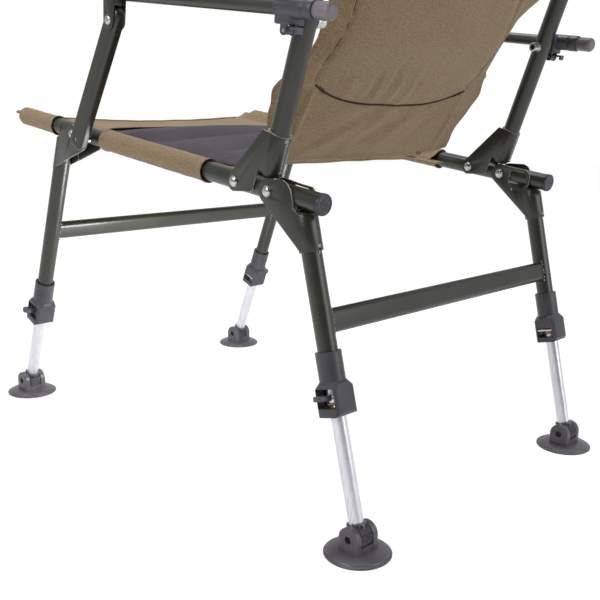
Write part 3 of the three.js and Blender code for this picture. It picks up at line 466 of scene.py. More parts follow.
def piece(name, bm, spot, body, look, node=None, sharp=42):
    """Makes a form a finished piece: in metres, in its place, on its body."""
    shaped(bm, Matrix.Scale(MM, 4) @ spot)
    for face in bm.faces:
        face.smooth = True
    for edge in bm.edges:
        if edge.is_manifold and edge.calc_face_angle(0) > math.radians(sharp):
            edge.smooth = False
    mesh = bpy.data.meshes.new(name)
    bm.to_mesh(mesh)
    bm.free()
    slot, material = look
    mesh.materials.append(material)
    made = placed(name, mesh)
    if body:
        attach(made, body)
    if node:
        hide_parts(*([node] if isinstance(node, str) else node))
    return made


def handed(bm, sign):
    """A copy of a left form, mirrored where it goes on the right."""
    copy = bm.copy()
    if sign < 0:
        bmesh.ops.scale(copy, vec=(-1, 1, 1), verts=copy.verts)
        bmesh.ops.reverse_faces(copy, faces=copy.faces)
    return copy


def pair(name, bm, spot, span, body, look, node=None, y=0, z=0, sharp=42):
    """A form's left and right pieces."""
    made = [piece(f"{name}_{side}", handed(bm, sign), spot @ Matrix.Translation((sign * span, y, z)),
                  body.format(side=side), look, f"{node}_{side}" if node else None, sharp)
            for side, sign in SIDES.items()]
    bm.free()
    return made


def joined(*forms):
    """Several separate forms as one mesh."""
    whole = forms[0]
    for form in forms[1:]:
        spare = bpy.data.meshes.new("spare")
        form.to_mesh(spare)
        form.free()
        whole.from_mesh(spare)
        bpy.data.meshes.remove(spare)
    return whole


def wire(points, radius, sides):
    """A round wire or cord along points."""
    curve = given(bpy.data.curves.new("wire", "CURVE"), dimensions="3D", bevel_depth=radius,
                  bevel_resolution=sides // 4, use_fill_caps=True)
    line = curve.splines.new("POLY")
    line.points.add(len(points) - 1)
    for spot, place in zip(line.points, points):
        spot.co = (*place, 1)
    helper = placed("wire", curve)
    made = bmesh.new()
    mesh = bpy.data.meshes.new_from_object(helper.evaluated_get(bpy.context.evaluated_depsgraph_get()))
    made.from_mesh(mesh)
    bpy.data.objects.remove(helper)
    bpy.data.curves.remove(curve)
    bpy.data.meshes.remove(mesh)
    bmesh.ops.remove_doubles(made, verts=made.verts, dist=0.001)
    return made


# Seat rails, their caps, rivets and bolts

def rivet(radius, grip, head, dome):
    """A rivet with a domed head and a thin washer at both ends of its grip."""
    steps = 7
    cap = [(head * math.cos(math.radians(90 * i / steps)), 0.5 + dome * math.sin(math.radians(90 * i / steps)))
           for i in range(steps)]
    upper = [(radius, grip), (head + 0.5, grip), (head + 0.5, grip + 0.45)]
    upper += [(r, grip + h) for r, h in cap] + [(0, grip + 0.5 + dome)]
    lower = [(r, -h) for r, h in reversed(upper)]
    return shaped(lathe(lower + upper, 32), ACROSS)


def post_pivot_bolt():
    """Bolt through the rail, with its head inboard and a spacer out to the post."""
    inner = -FLANGE_IN
    spacer = ARM_SPAN - RAIL_SPAN - 7.5 - GAP
    end = ARM_SPAN - RAIL_SPAN + 6.4
    profile = [(0, inner - 3.2), (3.4, inner - 3.2), (5.1, inner - 2.6), (5.5, inner - 1.8), (5.5, inner),
               (3.2, inner), (3.2, FLANGE_IN), (5.5, FLANGE_IN), (5.5, spacer), (3.2, spacer), (3.2, end), (0, end)]
    return shaped(lathe(profile, 32), ACROSS)


ON_RAILS = SEAT, RAIL_SPAN, "seat"


def rails():
    pair("rail", shaped(pipe(TUBE, WALL, -RAIL_FRONT, RAIL_REAR), ALONG), *ON_RAILS, PAINT, "seat_rail")
    shank, head = TUBE - WALL - GAP, TUBE + 0.7
    side = [(0, -16), (shank, -16), (shank, GAP), (head - 0.6, GAP), (head, 0.9), (head, 1.9), (head - 0.7, 2.2),
            (head - 0.7, 2.8), (head, 3.1), (head, 4.2), (head - 0.4, 5.2), (head - 1.3, 5.9), (head - 2.3, 6),
            (head - 3, 5.3), (head - 3.6, 5)]
    face = [(6.2, 5.1), (5.8, 5.5), (4.6, 5.5), (4.2, 5.1), (1.2, 5.2), (0.8, 4.6), (0, 4.6)]
    cap = lathe([(radius, RAIL_REAR + rise) for radius, rise in side + face])
    pair("rear_cap", shaped(cap, ALONG), *ON_RAILS, PLASTIC, "rail_rear_cap")
    for name, node, y, z in (("back_rivet", "back_pivot_rivet", 0, 0), ("rear_rivet", "rear_leg_rivet", REAR_RIVET, 0),
                             ("front_rivet", "front_leg_rivet", FRONT_RIVET, -RAIL_DROP)):
        pair(name, rivet(4, FLANGE_OUT + GAP, 6.5, 3.5), *ON_RAILS, ZINC, node, y, z, 60)
    pair("post_bolt", post_pivot_bolt(), *ON_RAILS, ZINC, "post_pivot_bolt", POST_BOLT, -RAIL_DROP, 60)


# Leg frames

def rail_space(turn, drop, radius):
    space = block(-40, 40, -300, 300, drop - radius - 2 * GAP, 300)
    return spun(space, turn)


def both_plates(outline, inside=FLANGE_IN, outside=FLANGE_OUT):
    return [slab(outline, inside, outside), slab(outline, -outside, -inside)]


def rear_leg():
    """Outer leg tube in a folded bracket. The inner flange has a window beside the rail."""
    axis, slant = LEG_AXIS["rear"], RAIL_TURN["rear"]
    sleeve = FLANGE_OUT
    turn = Matrix.Rotation(math.radians(slant), 2)

    def turned(*points):
        return [tuple(turn @ Vector(p)) for p in points]

    notch = block(-1.2, 1.2, axis + sleeve - 2.4, axis + sleeve + 2, -84, -76.5)
    stem = fused(moved(rod(sleeve, -80, 0), 0, axis), cuts=[rail_space(slant, 0, TUBE + 2.4), notch])
    front = arc(15, 76, 216, 14) + [(axis - sleeve * 0.3, -79), (axis, -79), (axis, -sleeve * 2.2)]
    outer = front + [(axis - 5.2, -26), (axis - 3.2, -20), (axis - 3.5, -5.6), (axis - 7.4, 2.8), (axis - 13.7, 7.9)]
    inner = front + turned((50, -17), (55, -8), (56, 1), (54, 8), (48, 13.2), (30, 13.2))
    window = turned((19, 10.5), (42, 10), (49, 6), (51.5, -1), (51, -8), (44, -16), (27, -21), (19, -14))
    ledge = turned((20, -28), (46, -19), (46, -17), (20, -26))
    bracket = fused(stem, adds=[slab(outer, FLANGE_IN, FLANGE_OUT), slab(inner, -FLANGE_OUT, -FLANGE_IN),
                                slab(ledge, -FLANGE_OUT + 0.2, FLANGE_OUT - 0.2)],
                    cuts=[cross_rod(RIVET_HOLE, -30, 30), moved(rod(TUBE - 0.2, -90, -20), 0, axis),
                          slab(window, -16, -11)])
    softened(bracket, 0.4)
    # A painted highlight on the flanges' cut edges and on the sleeve's bottom end.
    painted_edge_highlight(bracket, lambda spot, normal: (on_flange(spot, normal) and spot.y < axis + 12 and spot.z > -76)
           or (spot.z < -79 and abs(normal.z) > 0.6))
    tube = fused(moved(pipe(TUBE, WALL, TUBE_FOOT["rear"], -8), 0, axis), cuts=[rail_space(slant, 0, TUBE)])
    return bracket, tube


def front_leg():
    """Outer leg tube under a pressed bracket whose flanges straddle the rail."""
    axis = LEG_AXIS["front"]
    nose = FLANGE_OUT - 1.6
    slope = math.tan(math.radians(39.5))
    lean = 1 / math.tan(math.radians(36))
    crease_y = axis + 2.4
    crease_low = crease_y - (-80 + 19) / lean
    tip = 45 - 5.5 - 0.9
    wedge = slab([(-300, -slope * 300 - 40), (-300, -900), (300, -900), (300, slope * 300 - 40)], -40, 40)
    outline = [(crease_y, -19), (crease_low, -80), (tip * math.cos(math.radians(-30)), -80)]
    outline += arc(tip, -30, 20, 8) + arc(14, 50, 140, 10)
    cheek = [(axis, -21.4), (axis, -120), (crease_low + 2.4, -120), (crease_low + 2.4, -80), (crease_y + 4.8, -21.4)]
    under = rail_space(RAIL_TURN["front"], RAIL_DROP, TUBE + GAP + 1.5)
    inside = fused(block(-FLANGE_IN, FLANGE_IN, -300, 300, -300, 300), keeps=[under.copy()])
    ahead = fused(block(-30, 30, axis - 30, axis + 0.8, -44, 44), keeps=[under.copy()])
    bracket = fused(moved(rod(nose, -160, 0), 0, axis), adds=both_plates(outline) + both_plates(cheek, nose - 2, nose),
                    cuts=[wedge, inside, ahead, cross_rod(RIVET_HOLE, -30, 30),
                          moved(rod(TUBE - 0.2, -170, -30), 0, axis)])
    softened(bracket, 0.4)
    # A painted highlight on the cut edges of the flanges and cheeks.
    painted_edge_highlight(bracket, lambda spot, normal: abs(normal.x) < 0.8 and (abs(spot.x) > 12.4 or abs(normal.z) > 0.5))
    tube = fused(moved(pipe(TUBE, WALL, TUBE_FOOT["front"], -12), 0, axis),
                 cuts=[under, cross_rod(RIVET_HOLE, -30, 30)])
    return bracket, tube


def crossbar():
    edge = 7.5
    section = arc(edge, 0, 180, 12, 0, 7.5) + arc(edge, 180, 360, 12, 0, -7.5)
    posts = [moved(rod(TUBE + 0.1, -40, 40), side * RAIL_SPAN) for side in (1, -1)]
    return fused(slab(section, -RAIL_SPAN, RAIL_SPAN), cuts=posts)


def beads(*spots):
    """Small weld beads, each flattened on its seam."""
    forms = []
    for x, y, z, wide, deep, tall in spots:
        bm = bmesh.new()
        bmesh.ops.create_icosphere(bm, subdivisions=2, radius=1)
        bmesh.ops.scale(bm, vec=(wide, deep, tall), verts=bm.verts)
        forms.append(moved(bm, x, y, z))
    return joined(*forms)


def lock_housing():
    """Round sleeve over a chamfered block, with a window through to the lock."""
    half, corner, top = 18, 14.5, 78
    section = [(half, -corner), (half, corner), (corner, half), (-corner, half),
               (-half, corner), (-half, -corner), (-corner, -half), (corner, -half)]
    prism = spun(slab(section, 0, top), -90, "Y")
    shoulder = lathe([(0, 0), (25, 0), (25, 34), (15.8, 43.6), (0, 43.6)], 8)
    body = fused(rod(16.2, 0, top), adds=[spun(shoulder, 22.5, "Z")])
    toe = spun(block(1.2 - half, 36, -4.6, 4.6, -4.6, 4.6), 45)
    cuts = [moved(toe, 0, half + 0.9, -1), rod(INNER + GAP, -2, 40), rod(TUBE + 0.5, 37.2, top + 2),
            block(4.5 - half, half + 2, 3.5 - half, half - 3.5, 11, 34.5),
            block(-half - 2, 0, 5 - half, half - 5, 8, 22)]
    return softened(fused(prism, keeps=[body], cuts=cuts), 0.6, 28, 2, 35)


def lock_lever():
    """Steel plate round the inner leg with a moulded tongue, drawn from its fulcrum."""
    plate = fused(block(-0.5, 31.5, -12.4, 12.4, -1.25, 1.25), cuts=[moved(rod(10.3, -3, 3), FULCRUM)])
    tongue = fused(block(29.5, 45, -7, 7, -3.2, 3.2), adds=[moved(rod(7, -3.2, 3.2), 45)])
    return spun(softened(plate, 0.3), -8, "Y"), spun(softened(tongue, 1.4, 40, 3), -8, "Y")


def lock_spring():
    """Coppered coil under the lever, round the inner leg."""
    turns, steps = 2.75, 26
    count = round(turns * steps)
    points = [(11.6 * math.cos(math.tau * i / steps), 11.6 * math.sin(math.tau * i / steps),
               12.1 + 4.9 * i / count) for i in range(count + 1)]
    return wire(points, 0.75, 8)


def ankle():
    """Ribbed drum between the foot's cheeks, with a short socket for the tube."""
    drum = cross_rod(15.4, -9.6, 9.6)
    ribs = [spun(block(-10, 10, 15, 17, -0.35, 0.35), angle) for angle in range(-40, 64, 8)]
    socket = fused(rod(12.4, 6, 16.8), keeps=[block(-9.6, 9.6, -13, 13, 0, 20)])
    whole = fused(drum, adds=[socket], cuts=[rod(INNER + GAP, 12.1, 22), cross_rod(3.8, -16, 16), *ribs])
    return softened(whole, 0.7, 50)


def foot():
    """Stepped disc foot, and two broad rounded cheeks that hold the ankle's pin."""
    low, outer, inner = -FOOT_RISE, 19.2, 10.2
    disc = lathe([(r, low + rise) for r, rise in (
        (0, 0), (41.8, 0), (42.5, 0.8), (42.5, 2.2), (41.9, 2.9), (39.4, 3.2), (38.9, 3.6), (38.6, 4.6), (38, 5.1),
        (24, 7), (0, 7.4))], 72)
    outline = arc(15.6, 0, 180, 24) + [(-15.8, low + 3), (15.8, low + 3)]
    cheeks = [softened(slab(outline, x0, x1), 1.1, 60, 3) for x0, x1 in ((inner, outer), (-outer, -inner))]
    web = fused(block(-inner - 0.4, inner + 0.4, -15.2, 15.2, low + 3.4, -8.6), cuts=[cross_rod(16.2, -15, 15)])
    rings = [fused(cross_rod(8.6, x, x + 2), cuts=[cross_rod(8, x - 1, x + 3)]) for x in (outer - 0.5, -outer - 1.5)]
    recess = [cross_rod(3.8, -24, 24), cross_rod(5.2, 16, 24), cross_rod(5.2, -24, -16)]
    return fused(disc, adds=[*cheeks, web], cuts=recess + rings)


def foot_pin():
    """Pin between the cheeks, with a cross-slot in both heads."""
    heads = [cross_rod(4.8, x, x + 1.5, sides=24) for x in (16.1, -17.6)]
    slots = [block(x, x + 1.6, -high, high, -deep, deep)
             for x in (16.8, -18.4) for high, deep in ((0.7, 3.4), (3.4, 0.7))]
    return fused(cross_rod(3.4, -17, 17, sides=24), adds=heads, cuts=slots)


def leg_frames():
    for end, (bracket, tube) in (("front", front_leg()), ("rear", rear_leg())):
        leg, axis, depth = LEGS[end], LEG_AXIS[end], BLOCK_DEPTH[end]
        body, lever, shin, shoe = (f"{end}_{part}" for part in ("legs", "lock_{side}", "shin_{side}", "shoe_{side}"))
        pair(f"{end}_bracket", bracket, leg, RAIL_SPAN, body, PAINT, f"{end}_leg", sharp=50)
        pair(f"{end}_outer_leg", tube, leg, RAIL_SPAN, body, PAINT)
        bar = leg @ Matrix.Translation((0, axis, -BAR_DEPTH[end]))
        piece(f"{end}_bar", crossbar(), bar, body, PAINT, f"{end}_crossbar")
        pair(f"{end}_housing", lock_housing(), leg, RAIL_SPAN, body, PLASTIC, f"{end}_lock_housing", axis, -depth, 26)
        plate, tongue = lock_lever()
        hinge = RAIL_SPAN - FULCRUM, lever
        pair(f"{end}_lever_tongue", tongue, leg, *hinge, LEVER_PLASTIC, f"{end}_lock_lever", axis, LEVER_RISE - depth)
        pair(f"{end}_lever_plate", plate, leg, *hinge, ZINC, None, axis, LEVER_RISE - depth)
        springs = pair(f"{end}_spring", lock_spring(), leg, RAIL_SPAN, body, COPPER, None, axis, -depth)
        for side, coil in zip(SIDES, springs):
            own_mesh(coil)
        inner_leg = pipe(INNER, 1.2, 12.4, INNER_TOP[end])
        pair(f"{end}_inner_tube", inner_leg, ANKLE[end], RAIL_SPAN, shin, SATIN[end], f"{end}_inner_leg")
        pair(f"{end}_knuckle", ankle(), ANKLE[end], RAIL_SPAN, shin, FOOT_PLASTIC, f"{end}_ankle", sharp=50)
        pair(f"{end}_disc_foot", foot(), FOOT[end], RAIL_SPAN, shoe, FOOT_PLASTIC, f"{end}_foot", sharp=50)
        pair(f"{end}_foot_pin", foot_pin(), FOOT[end], RAIL_SPAN, shoe, BRONZE)
    # Weld beads on the rear brackets and the crossbars, in the pale paint that is their painted highlight.
    rear = LEG_AXIS["rear"] + FLANGE_OUT
    pair("rear_weld", beads((0, rear - 0.6, -74.5, 2.6, 1.5, 2.4), (0, rear - 1.9, -81.5, 1.3, 1, 3)), LEGS["rear"],
         RAIL_SPAN, "rear_legs", WELD_HIGHLIGHT_PAINT)
    for end in LEGS:
        axis, depth = LEG_AXIS[end], BAR_DEPTH[end]
        seam = []
        for degrees, rise in ((34, 15), (38, 11), (41, 2), (41, -2), (40, -9), (36, -14), (-34, 14), (-40, 5),
                              (-40, -6), (-34, -15)):
            angle = math.radians(degrees)
            seam.append((-TUBE * math.cos(angle), axis + TUBE * math.sin(angle), rise - depth, 1.2, 1.2, 1.6))
        pair(f"{end}_bar_weld", beads(*seam), LEGS[end], RAIL_SPAN, f"{end}_legs", WELD_HIGHLIGHT_PAINT)


# Backrest frame

def back_tube(radius, foot):
    """The upright frame's tube: up one side, round two bends and down the other."""
    bm = bmesh.new()
    bmesh.ops.create_circle(bm, cap_ends=False, radius=radius, segments=SMOOTH)
    moved(bm, -RAIL_SPAN, BACK_TRAIL, foot)
    ring = list(bm.edges)

    def straight(edges, step):
        grown = bmesh.ops.extrude_edge_only(bm, edges=edges)["geom"]
        bmesh.ops.translate(bm, verts=[v for v in grown if isinstance(v, bmesh.types.BMVert)], vec=step)
        return [e for e in grown if isinstance(e, bmesh.types.BMEdge) and e.is_boundary]

    def bend(edges, x):
        turned = bmesh.ops.spin(bm, geom=edges + list({v for e in edges for v in e.verts}), steps=14,
                                cent=(x, BACK_TRAIL, BACK_TOP - BACK_BEND), axis=(0, 1, 0), angle=math.pi / 2)
        return [e for e in turned["geom_last"] if isinstance(e, bmesh.types.BMEdge)]

    rise = BACK_TOP - BACK_BEND - foot
    inset = RAIL_SPAN - BACK_BEND
    ring = straight(ring, (0, 0, rise))
    ring = bend(ring, -inset)
    ring = straight(ring, (2 * inset, 0, 0))
    ring = bend(ring, inset)
    straight(ring, (0, 0, -rise))
    bmesh.ops.remove_doubles(bm, verts=bm.verts, dist=0.001)
    return bm


def closed(bm):
    """Closes every open end and turns the faces outwards."""
    bmesh.ops.holes_fill(bm, edges=[e for e in bm.edges if e.is_boundary])
    bmesh.ops.recalc_face_normals(bm, faces=bm.faces)
    return bm


def back_bracket():
    """Two pressed half shells round the upright, welded down the back."""
    sleeve = FLANGE_OUT
    toe = BACK_TRAIL - TUBE + 2.4
    outline = arc(12, 155, 290, 14) + [
        (toe - 3.4, 0), (toe, 3.5), (toe, UPRIGHT_FOOT), (BACK_TRAIL, UPRIGHT_FOOT), (BACK_TRAIL, 78),
        (BACK_TRAIL - sleeve, 78)]
    seam = block(-0.5, 0.5, BACK_TRAIL + sleeve - 0.8, BACK_TRAIL + sleeve + 2, 20, 90)
    lip = spun(block(-30, 30, -30, 30, 0, 12), -9)
    shell = fused(moved(rod(sleeve, UPRIGHT_FOOT, 80), 0, BACK_TRAIL), adds=both_plates(outline),
                  cuts=[seam, moved(lip, 0, BACK_TRAIL, 79), cross_rod(RIVET_HOLE, -30, 30),
                        moved(rod(TUBE + 0.05, 0, 90), 0, BACK_TRAIL)])
    softened(shell, 0.4)
    behind = BACK_TRAIL + TUBE
    # A painted highlight on the flanges' cut edges, on the shells' top rim and on the seam down the back.
    return painted_edge_highlight(shell, lambda spot, normal: (on_flange(spot, normal) and spot.y < behind - 8)
                  or (abs(normal.z) > 0.6 and spot.z > 66) or (abs(spot.x) < 1 and spot.y > behind))


def clamp_bolt():
    """Bolt and barrel spacer through the upright, and a dark disc on the floor of the bolt's socket: painted shade."""
    wall = FLANGE_IN
    profile = [(0, -wall - 14), (5.2, -wall - 14), (6.2, -wall - 13.2), (6.2, -wall - 5), (5.7, -wall - 4.6),
               (5.7, -wall - 4), (6.9, -wall - 3.8), (6.9, -wall - 0.4), (6.5, -wall), (3.2, -wall),
               (3.2, wall + 6.8), (0, wall + 6.8)]
    socket = cross_rod(3.9, -wall - 16, -wall - 9, sides=6)
    return fused(shaped(lathe(profile, 32), ACROSS), cuts=[socket]), cross_rod(3.8, -wall - 9.1, -wall - 8.6, sides=6)


def backrest_frame():
    place = BACK, RAIL_SPAN, "backrest"
    piece("upright_frame", closed(back_tube(TUBE, UPRIGHT_FOOT + 0.4)), BACK, "backrest", PAINT, "back_frame")
    pair("upright_bracket", back_bracket(), *place, PAINT, sharp=50)
    plug = lathe([(r, UPRIGHT_FOOT + rise) for r, rise in (
        (0, -5.9), (7.4, -5.9), (10.2, -4.5), (11.7, -2.2), (11.9, 0), (10.8, 0.3), (0, 0.3))])
    pair("upright_plug", plug, *place, PLASTIC, y=BACK_TRAIL)
    behind = BACK_TRAIL + TUBE + SHEET - 0.4
    # Weld beads down the back of the brackets, in the pale paint that is their painted highlight.
    blobs = [(0.8, behind, 73, 3.4, 1.6, 2.8), (-0.6, behind, 68.4, 2.6, 1.3, 2.2), (0.2, behind, 34, 2.8, 1.3, 2.2)]
    blobs += [(0.4 * math.sin(z), behind, z, 1.2, 0.9, 2.1) for z in range(38, 67, 3)]
    pair("upright_weld", beads(*blobs), *place, WELD_HIGHLIGHT_PAINT)
    bolt, shadow = clamp_bolt()
    pair("clamp_bolt", bolt, *place, ZINC, "arm_clamp_bolt", BACK_TRAIL, CLAMP_BOLT_RISE)
    # The dark disc in the bolt's socket is painted shade.
    pair("clamp_bolt_socket", shadow, *place, SOCKET_SHADE, None, BACK_TRAIL, CLAMP_BOLT_RISE)


# Armrests

def arm_post():
    """Flat bar with rounded edges between the seat rail's bolt and the arm's."""
    end, length = 4.5, 191.5
    outline = arc(9, 180, 270, 9, -6, -end) + arc(9, 270, 360, 9, 6, -end) + arc(15, 0, 180, 20, 0, length + end)
    bar = softened(slab(outline, -7.5, 7.5), 4.6, 60, 8, slide=False)
    return fused(bar, cuts=[cross_rod(BOLT_HOLE, -20, 20), cross_rod(BOLT_HOLE, -20, 20, 0, length)])


def arm_tube():
    """Arm tube, and the forked bracket under it."""
    tube = moved(shaped(pipe(ARM_TUBE, WALL, -68, ARM_REAR), ALONG), 0, 0, ARM_RISE)
    outline = [(-13, ARM_RISE)] + arc(12, 190, 350, 14) + [(13, ARM_RISE)]
    first, second = both_plates(outline, 7.9, 9.7)
    return tube, softened(fused(first, adds=[second], cuts=[cross_rod(BOLT_HOLE, -30, 30)]), 0.35)


def arm_cap():
    start, bore = CLAMP_ALONG + 43.8, ARM_TUBE + GAP
    end = start + 24
    profile = [(bore, start), (9.2, start), (9.6, start + 0.5), *arc(6, 0, 75, 5, 3.9, end - 6)]
    profile += [(3.9, end), (0, end), (0, start + 14), (bore, start + 14), (bore, start)]
    return shaped(lathe(profile), ALONG)


def arm_pad():
    """Moulded rest that saddles the tube, with a soft crown and a turned-down nose."""
    front, back, corner = -76.3, 185.7, 20
    outline = arc(corner, 180, 360, 16, -13 + 22, front + corner + 2)
    outline += arc(corner, 0, 180, 16, 31 - 22, back - corner - 2)
    lying = Matrix(((0, 0, -1, 0), (0, 1, 0, 0), (1, 0, 0, 0), (0, 0, 0, 1)))
    body = shaped(slab([(y, -x) for x, y in outline], 3, 24), lying)
    bmesh.ops.recalc_face_normals(body, faces=body.faces)
    softened(body, 6.5, 60, 6, slide=False)
    nose = shaped(rod(ARM_TUBE + SHEET, front + 4, -68.3), ALONG)
    groove = shaped(rod(ARM_TUBE + GAP, -68.3, back + 2), ALONG)
    return fused(body, adds=[nose], cuts=[groove])


def clamp_block():
    """Clamp round the arm tube: a rounded block, a ringed barrel and two ears for the cam."""
    inner = -15.7
    body = softened(block(inner, 9, -13, 12, -17, 9.5), 2.4, 35, 3)
    ear = arc(5, 180, 360, 12, *CAM_PIN) + [(7, -14), (-3, -14)]
    collar = shaped(lathe([(0, -15), (10.2, -15), (11, -14), (11, 28), (10.2, 28.8), (10.2, 29.8), (11.2, 30.4),
                           (11.2, 42), (10.4, 43.2), (0, 43.2)]), ALONG)
    cuts = [shaped(rod(ARM_TUBE + GAP, -19, 50), ALONG), cross_rod(RIVET_HOLE, inner - 2, inner + 8, 0, -11),
            cross_rod(2.3, -30, 30, *CAM_PIN), block(-20, 20, -1, 1, 11.5, 20)]
    return softened(fused(body, adds=[collar, *both_plates(ear, 5, 8)], cuts=cuts), 0.5, 40)


def clamp_lever():
    """Cam lever hung from its pin, and the pin."""
    top, half = 4.4, 4.7
    profile = [(0, 0), (2.1, top - 3), (16, top - 3), (16, top - 7), (19, top - 7), (19, top), (0, top)]
    lever = fused(slab(profile, -half, half), adds=[cross_rod(4.2, -half, half)])
    return softened(lever, 0.7, 35, 3), cross_rod(2, -7.7, 7.7, sides=24)


def armrests():
    pair("arm_stay", arm_post(), POST, ARM_SPAN, "post_{side}", PAINT, "arm_post", sharp=60)
    arm, cam = (ARM, ARM_SPAN, "arm_{side}"), (CLAMP, ARM_SPAN, "cam_{side}")
    tube, fork = arm_tube()
    pair("arm_bar", tube, *arm, PAINT, "arm_tube")
    pair("arm_fork", fork, *arm, PAINT)
    pair("arm_bolt", rivet(3.2, 10, 6.2, 2.6), *arm, ZINC, "arm_hinge_bolt", sharp=60)
    pair("arm_end", arm_cap(), *arm, LIGHT_PLASTIC, "arm_end_cap", z=ARM_RISE)
    pair("arm_rest", arm_pad(), *arm, PAD_PLASTIC, "arm_pad", z=ARM_RISE)
    pair("clamp_body", clamp_block(), CLAMP, ARM_SPAN, "clamp_{side}", PLASTIC, "arm_clamp_block", sharp=50)
    lever, pin = clamp_lever()
    pair("cam_lever", lever, *cam, LEVER_PLASTIC, "arm_clamp_lever", *CAM_PIN)
    pair("cam_pin", pin, *cam, ZINC, None, *CAM_PIN)


# Cloth

def eased(value, low, high):
    """0 at low, 1 at high, held beyond them and smooth between."""
    share = min(1, max(0, (value - low) / (high - low)))
    return share * share * (3 - 2 * share)


def rumple(x, y, scale, seed=0):
    return noise.noise(Vector((x / scale + seed, y / scale - seed, seed * 1.7)))


def on_rim(u, v):
    return min(u, 1 - u, v, 1 - v) < 1e-4


def woven(bm, lie):
    """Lays out the weave: lie(point) says where a point is on the flat cloth, in millimetres."""
    layer = bm.loops.layers.uv.new("weave")
    for face in bm.faces:
        for loop in face.loops:
            loop[layer].uv = [part * MM for part in lie(loop.vert.co)]


def cloth_grid(columns, rows, shape, width, length):
    """A grid whose points go where shape(u, v) says, with its weave laid out in metres."""
    bm = bmesh.new()
    bmesh.ops.create_grid(bm, x_segments=columns, y_segments=rows, size=0.5)
    woven(bm, lambda spot: ((spot.x + 0.5) * width, (spot.y + 0.5) * length))
    for vert in bm.verts:
        vert.co = shape(vert.co.x + 0.5, vert.co.y + 0.5)
    return bm


def thickened(bm, depth):
    bmesh.ops.recalc_face_normals(bm, faces=bm.faces)
    bmesh.ops.solidify(bm, geom=bm.faces, thickness=depth)
    bmesh.ops.recalc_face_normals(bm, faces=bm.faces)
    return bm


def two_skins(columns, rows, upper, lower, width, length, held=lambda u, v: False):
    """Two cloth skins that meet at the rim. The lower one and what held says are marked as held."""
    top = cloth_grid(columns, rows, upper, width, length)
    bottom = cloth_grid(columns, rows, lower, width, length)
    marks = top.verts.layers.int.new("held")
    spots = cloth_grid(columns, rows, lambda u, v: (u, v, 0), 1, 1)
    for vert, spot in zip(top.verts, spots.verts):
        vert[marks] = int(held(spot.co.x, spot.co.y))
    spots.free()
    low_marks = bottom.verts.layers.int.new("held")
    for vert in bottom.verts:
        vert[low_marks] = 1
    whole = joined(top, bottom)
    bmesh.ops.remove_doubles(whole, verts=whole.verts, dist=0.02)
    bmesh.ops.recalc_face_normals(whole, faces=whole.faces)
    return whole


def stitches(name, path, spot, body, look=THREAD, size=(2.6, 0.7, 0.5), pitch=3.6, lift=(0, 0, 0)):
    """A row of sewing: small slugs of thread that follow a path."""
    whole = bmesh.new()
    carry = pitch / 2
    for start, end in zip(path, path[1:]):
        start, end = Vector(start) + Vector(lift), Vector(end) + Vector(lift)
        run = (end - start).length
        while carry < run:
            turn = (end - start).to_track_quat("X", "Z").to_matrix().to_4x4()
            shape = Matrix.Translation(start.lerp(end, carry / run)) @ turn @ Matrix.Diagonal((*size, 1))
            bmesh.ops.create_icosphere(whole, subdivisions=1, radius=0.5, matrix=shape)
            carry += pitch
        carry -= run
    return piece(name, whole, spot, body, look)


def cord(name, path, radius, spot, body, look):
    """A round cord along a path, its weave laid out along it."""
    line = wire(path, radius, 12)
    woven(line, lambda spot: (spot.x + spot.z, spot.y))
    return piece(name, line, spot, body, look)


def stuffed(obj, pressure, cap, extra=0.05):
    """Blows a sewn shell up like stuffing, its marked points held, and keeps the shape."""
    frames = 18
    marks = obj.data.attributes["held"].data
    group = obj.vertex_groups.new(name="held")
    group.add([i for i, mark in enumerate(marks) if mark.value], 1.0, "REPLACE")
    start = [v.co.copy() for v in obj.data.vertices]
    cloth = obj.modifiers.new("stuffing", "CLOTH")
    given(cloth.settings, vertex_group_mass="held", quality=6, mass=0.15, use_pressure=True,
          uniform_pressure_force=pressure, shrink_min=-extra, tension_stiffness=10, compression_stiffness=10,
          shear_stiffness=5, bending_stiffness=0.2)
    cloth.settings.effector_weights.gravity = 0
    cloth.collision_settings.use_collision = False
    given(cloth.point_cache, frame_start=1, frame_end=frames)
    for step in range(1, frames + 1):
        bpy.context.scene.frame_set(step)
    graph = bpy.context.evaluated_depsgraph_get()
    ends = [v.co.copy() for v in obj.evaluated_get(graph).data.vertices]
    obj.modifiers.remove(cloth)
    obj.vertex_groups.clear()
    for vert, was, now in zip(obj.data.vertices, start, ends):
        step = now - was
        if step.length > cap:
            step *= cap / step.length
        vert.co = was + step
    bpy.context.scene.frame_set(1)
    given(obj.modifiers.new("finer", "SUBSURF"), levels=1, render_levels=1)
    return obj


# Seat

SEAT_FRONT = -572
SEAT_REAR = -46
DECK_HALF = 231
PAD_HALF = 200
PAD_SEAMS = (-476, -388, -250, -142, -74)
LOOP = 14.1
TAIL = 33
QUILT_CELL = 4.6
PAD_SEWING = DARK_THREAD, (2.6, 0.6, 0.5), 3.8


def deck_level(x, y):
    """Height of the seat cloth over the rails' plane: slack in front, drawn up to the back's hem at the rear."""
    slack = max(0, 1 - (x / DECK_HALF) ** 2)
    hem = max(0, SEAT_FRONT + 40 - y) / 40
    dip = 11.5 * min(1, max(0, (-y - 300) / 176)) - 3.5 * eased(-y, 476, 572)
    rise = 13.5 * eased(y, -100, -40) * (1 - eased(x, 165, 228) - eased(-x, 100, 215))
    ripple = 1.2 * rumple(x, y * 0.6, 42, 3) * min(1, slack * 3)
    return -1.5 - slack * dip - 4 * hem * hem + rise + ripple


def hem_bow(x, rear):
    """How far a hem of the seat bows outwards."""
    return (13 if rear else 5) * max(0, 1 - (x / DECK_HALF) ** 2)


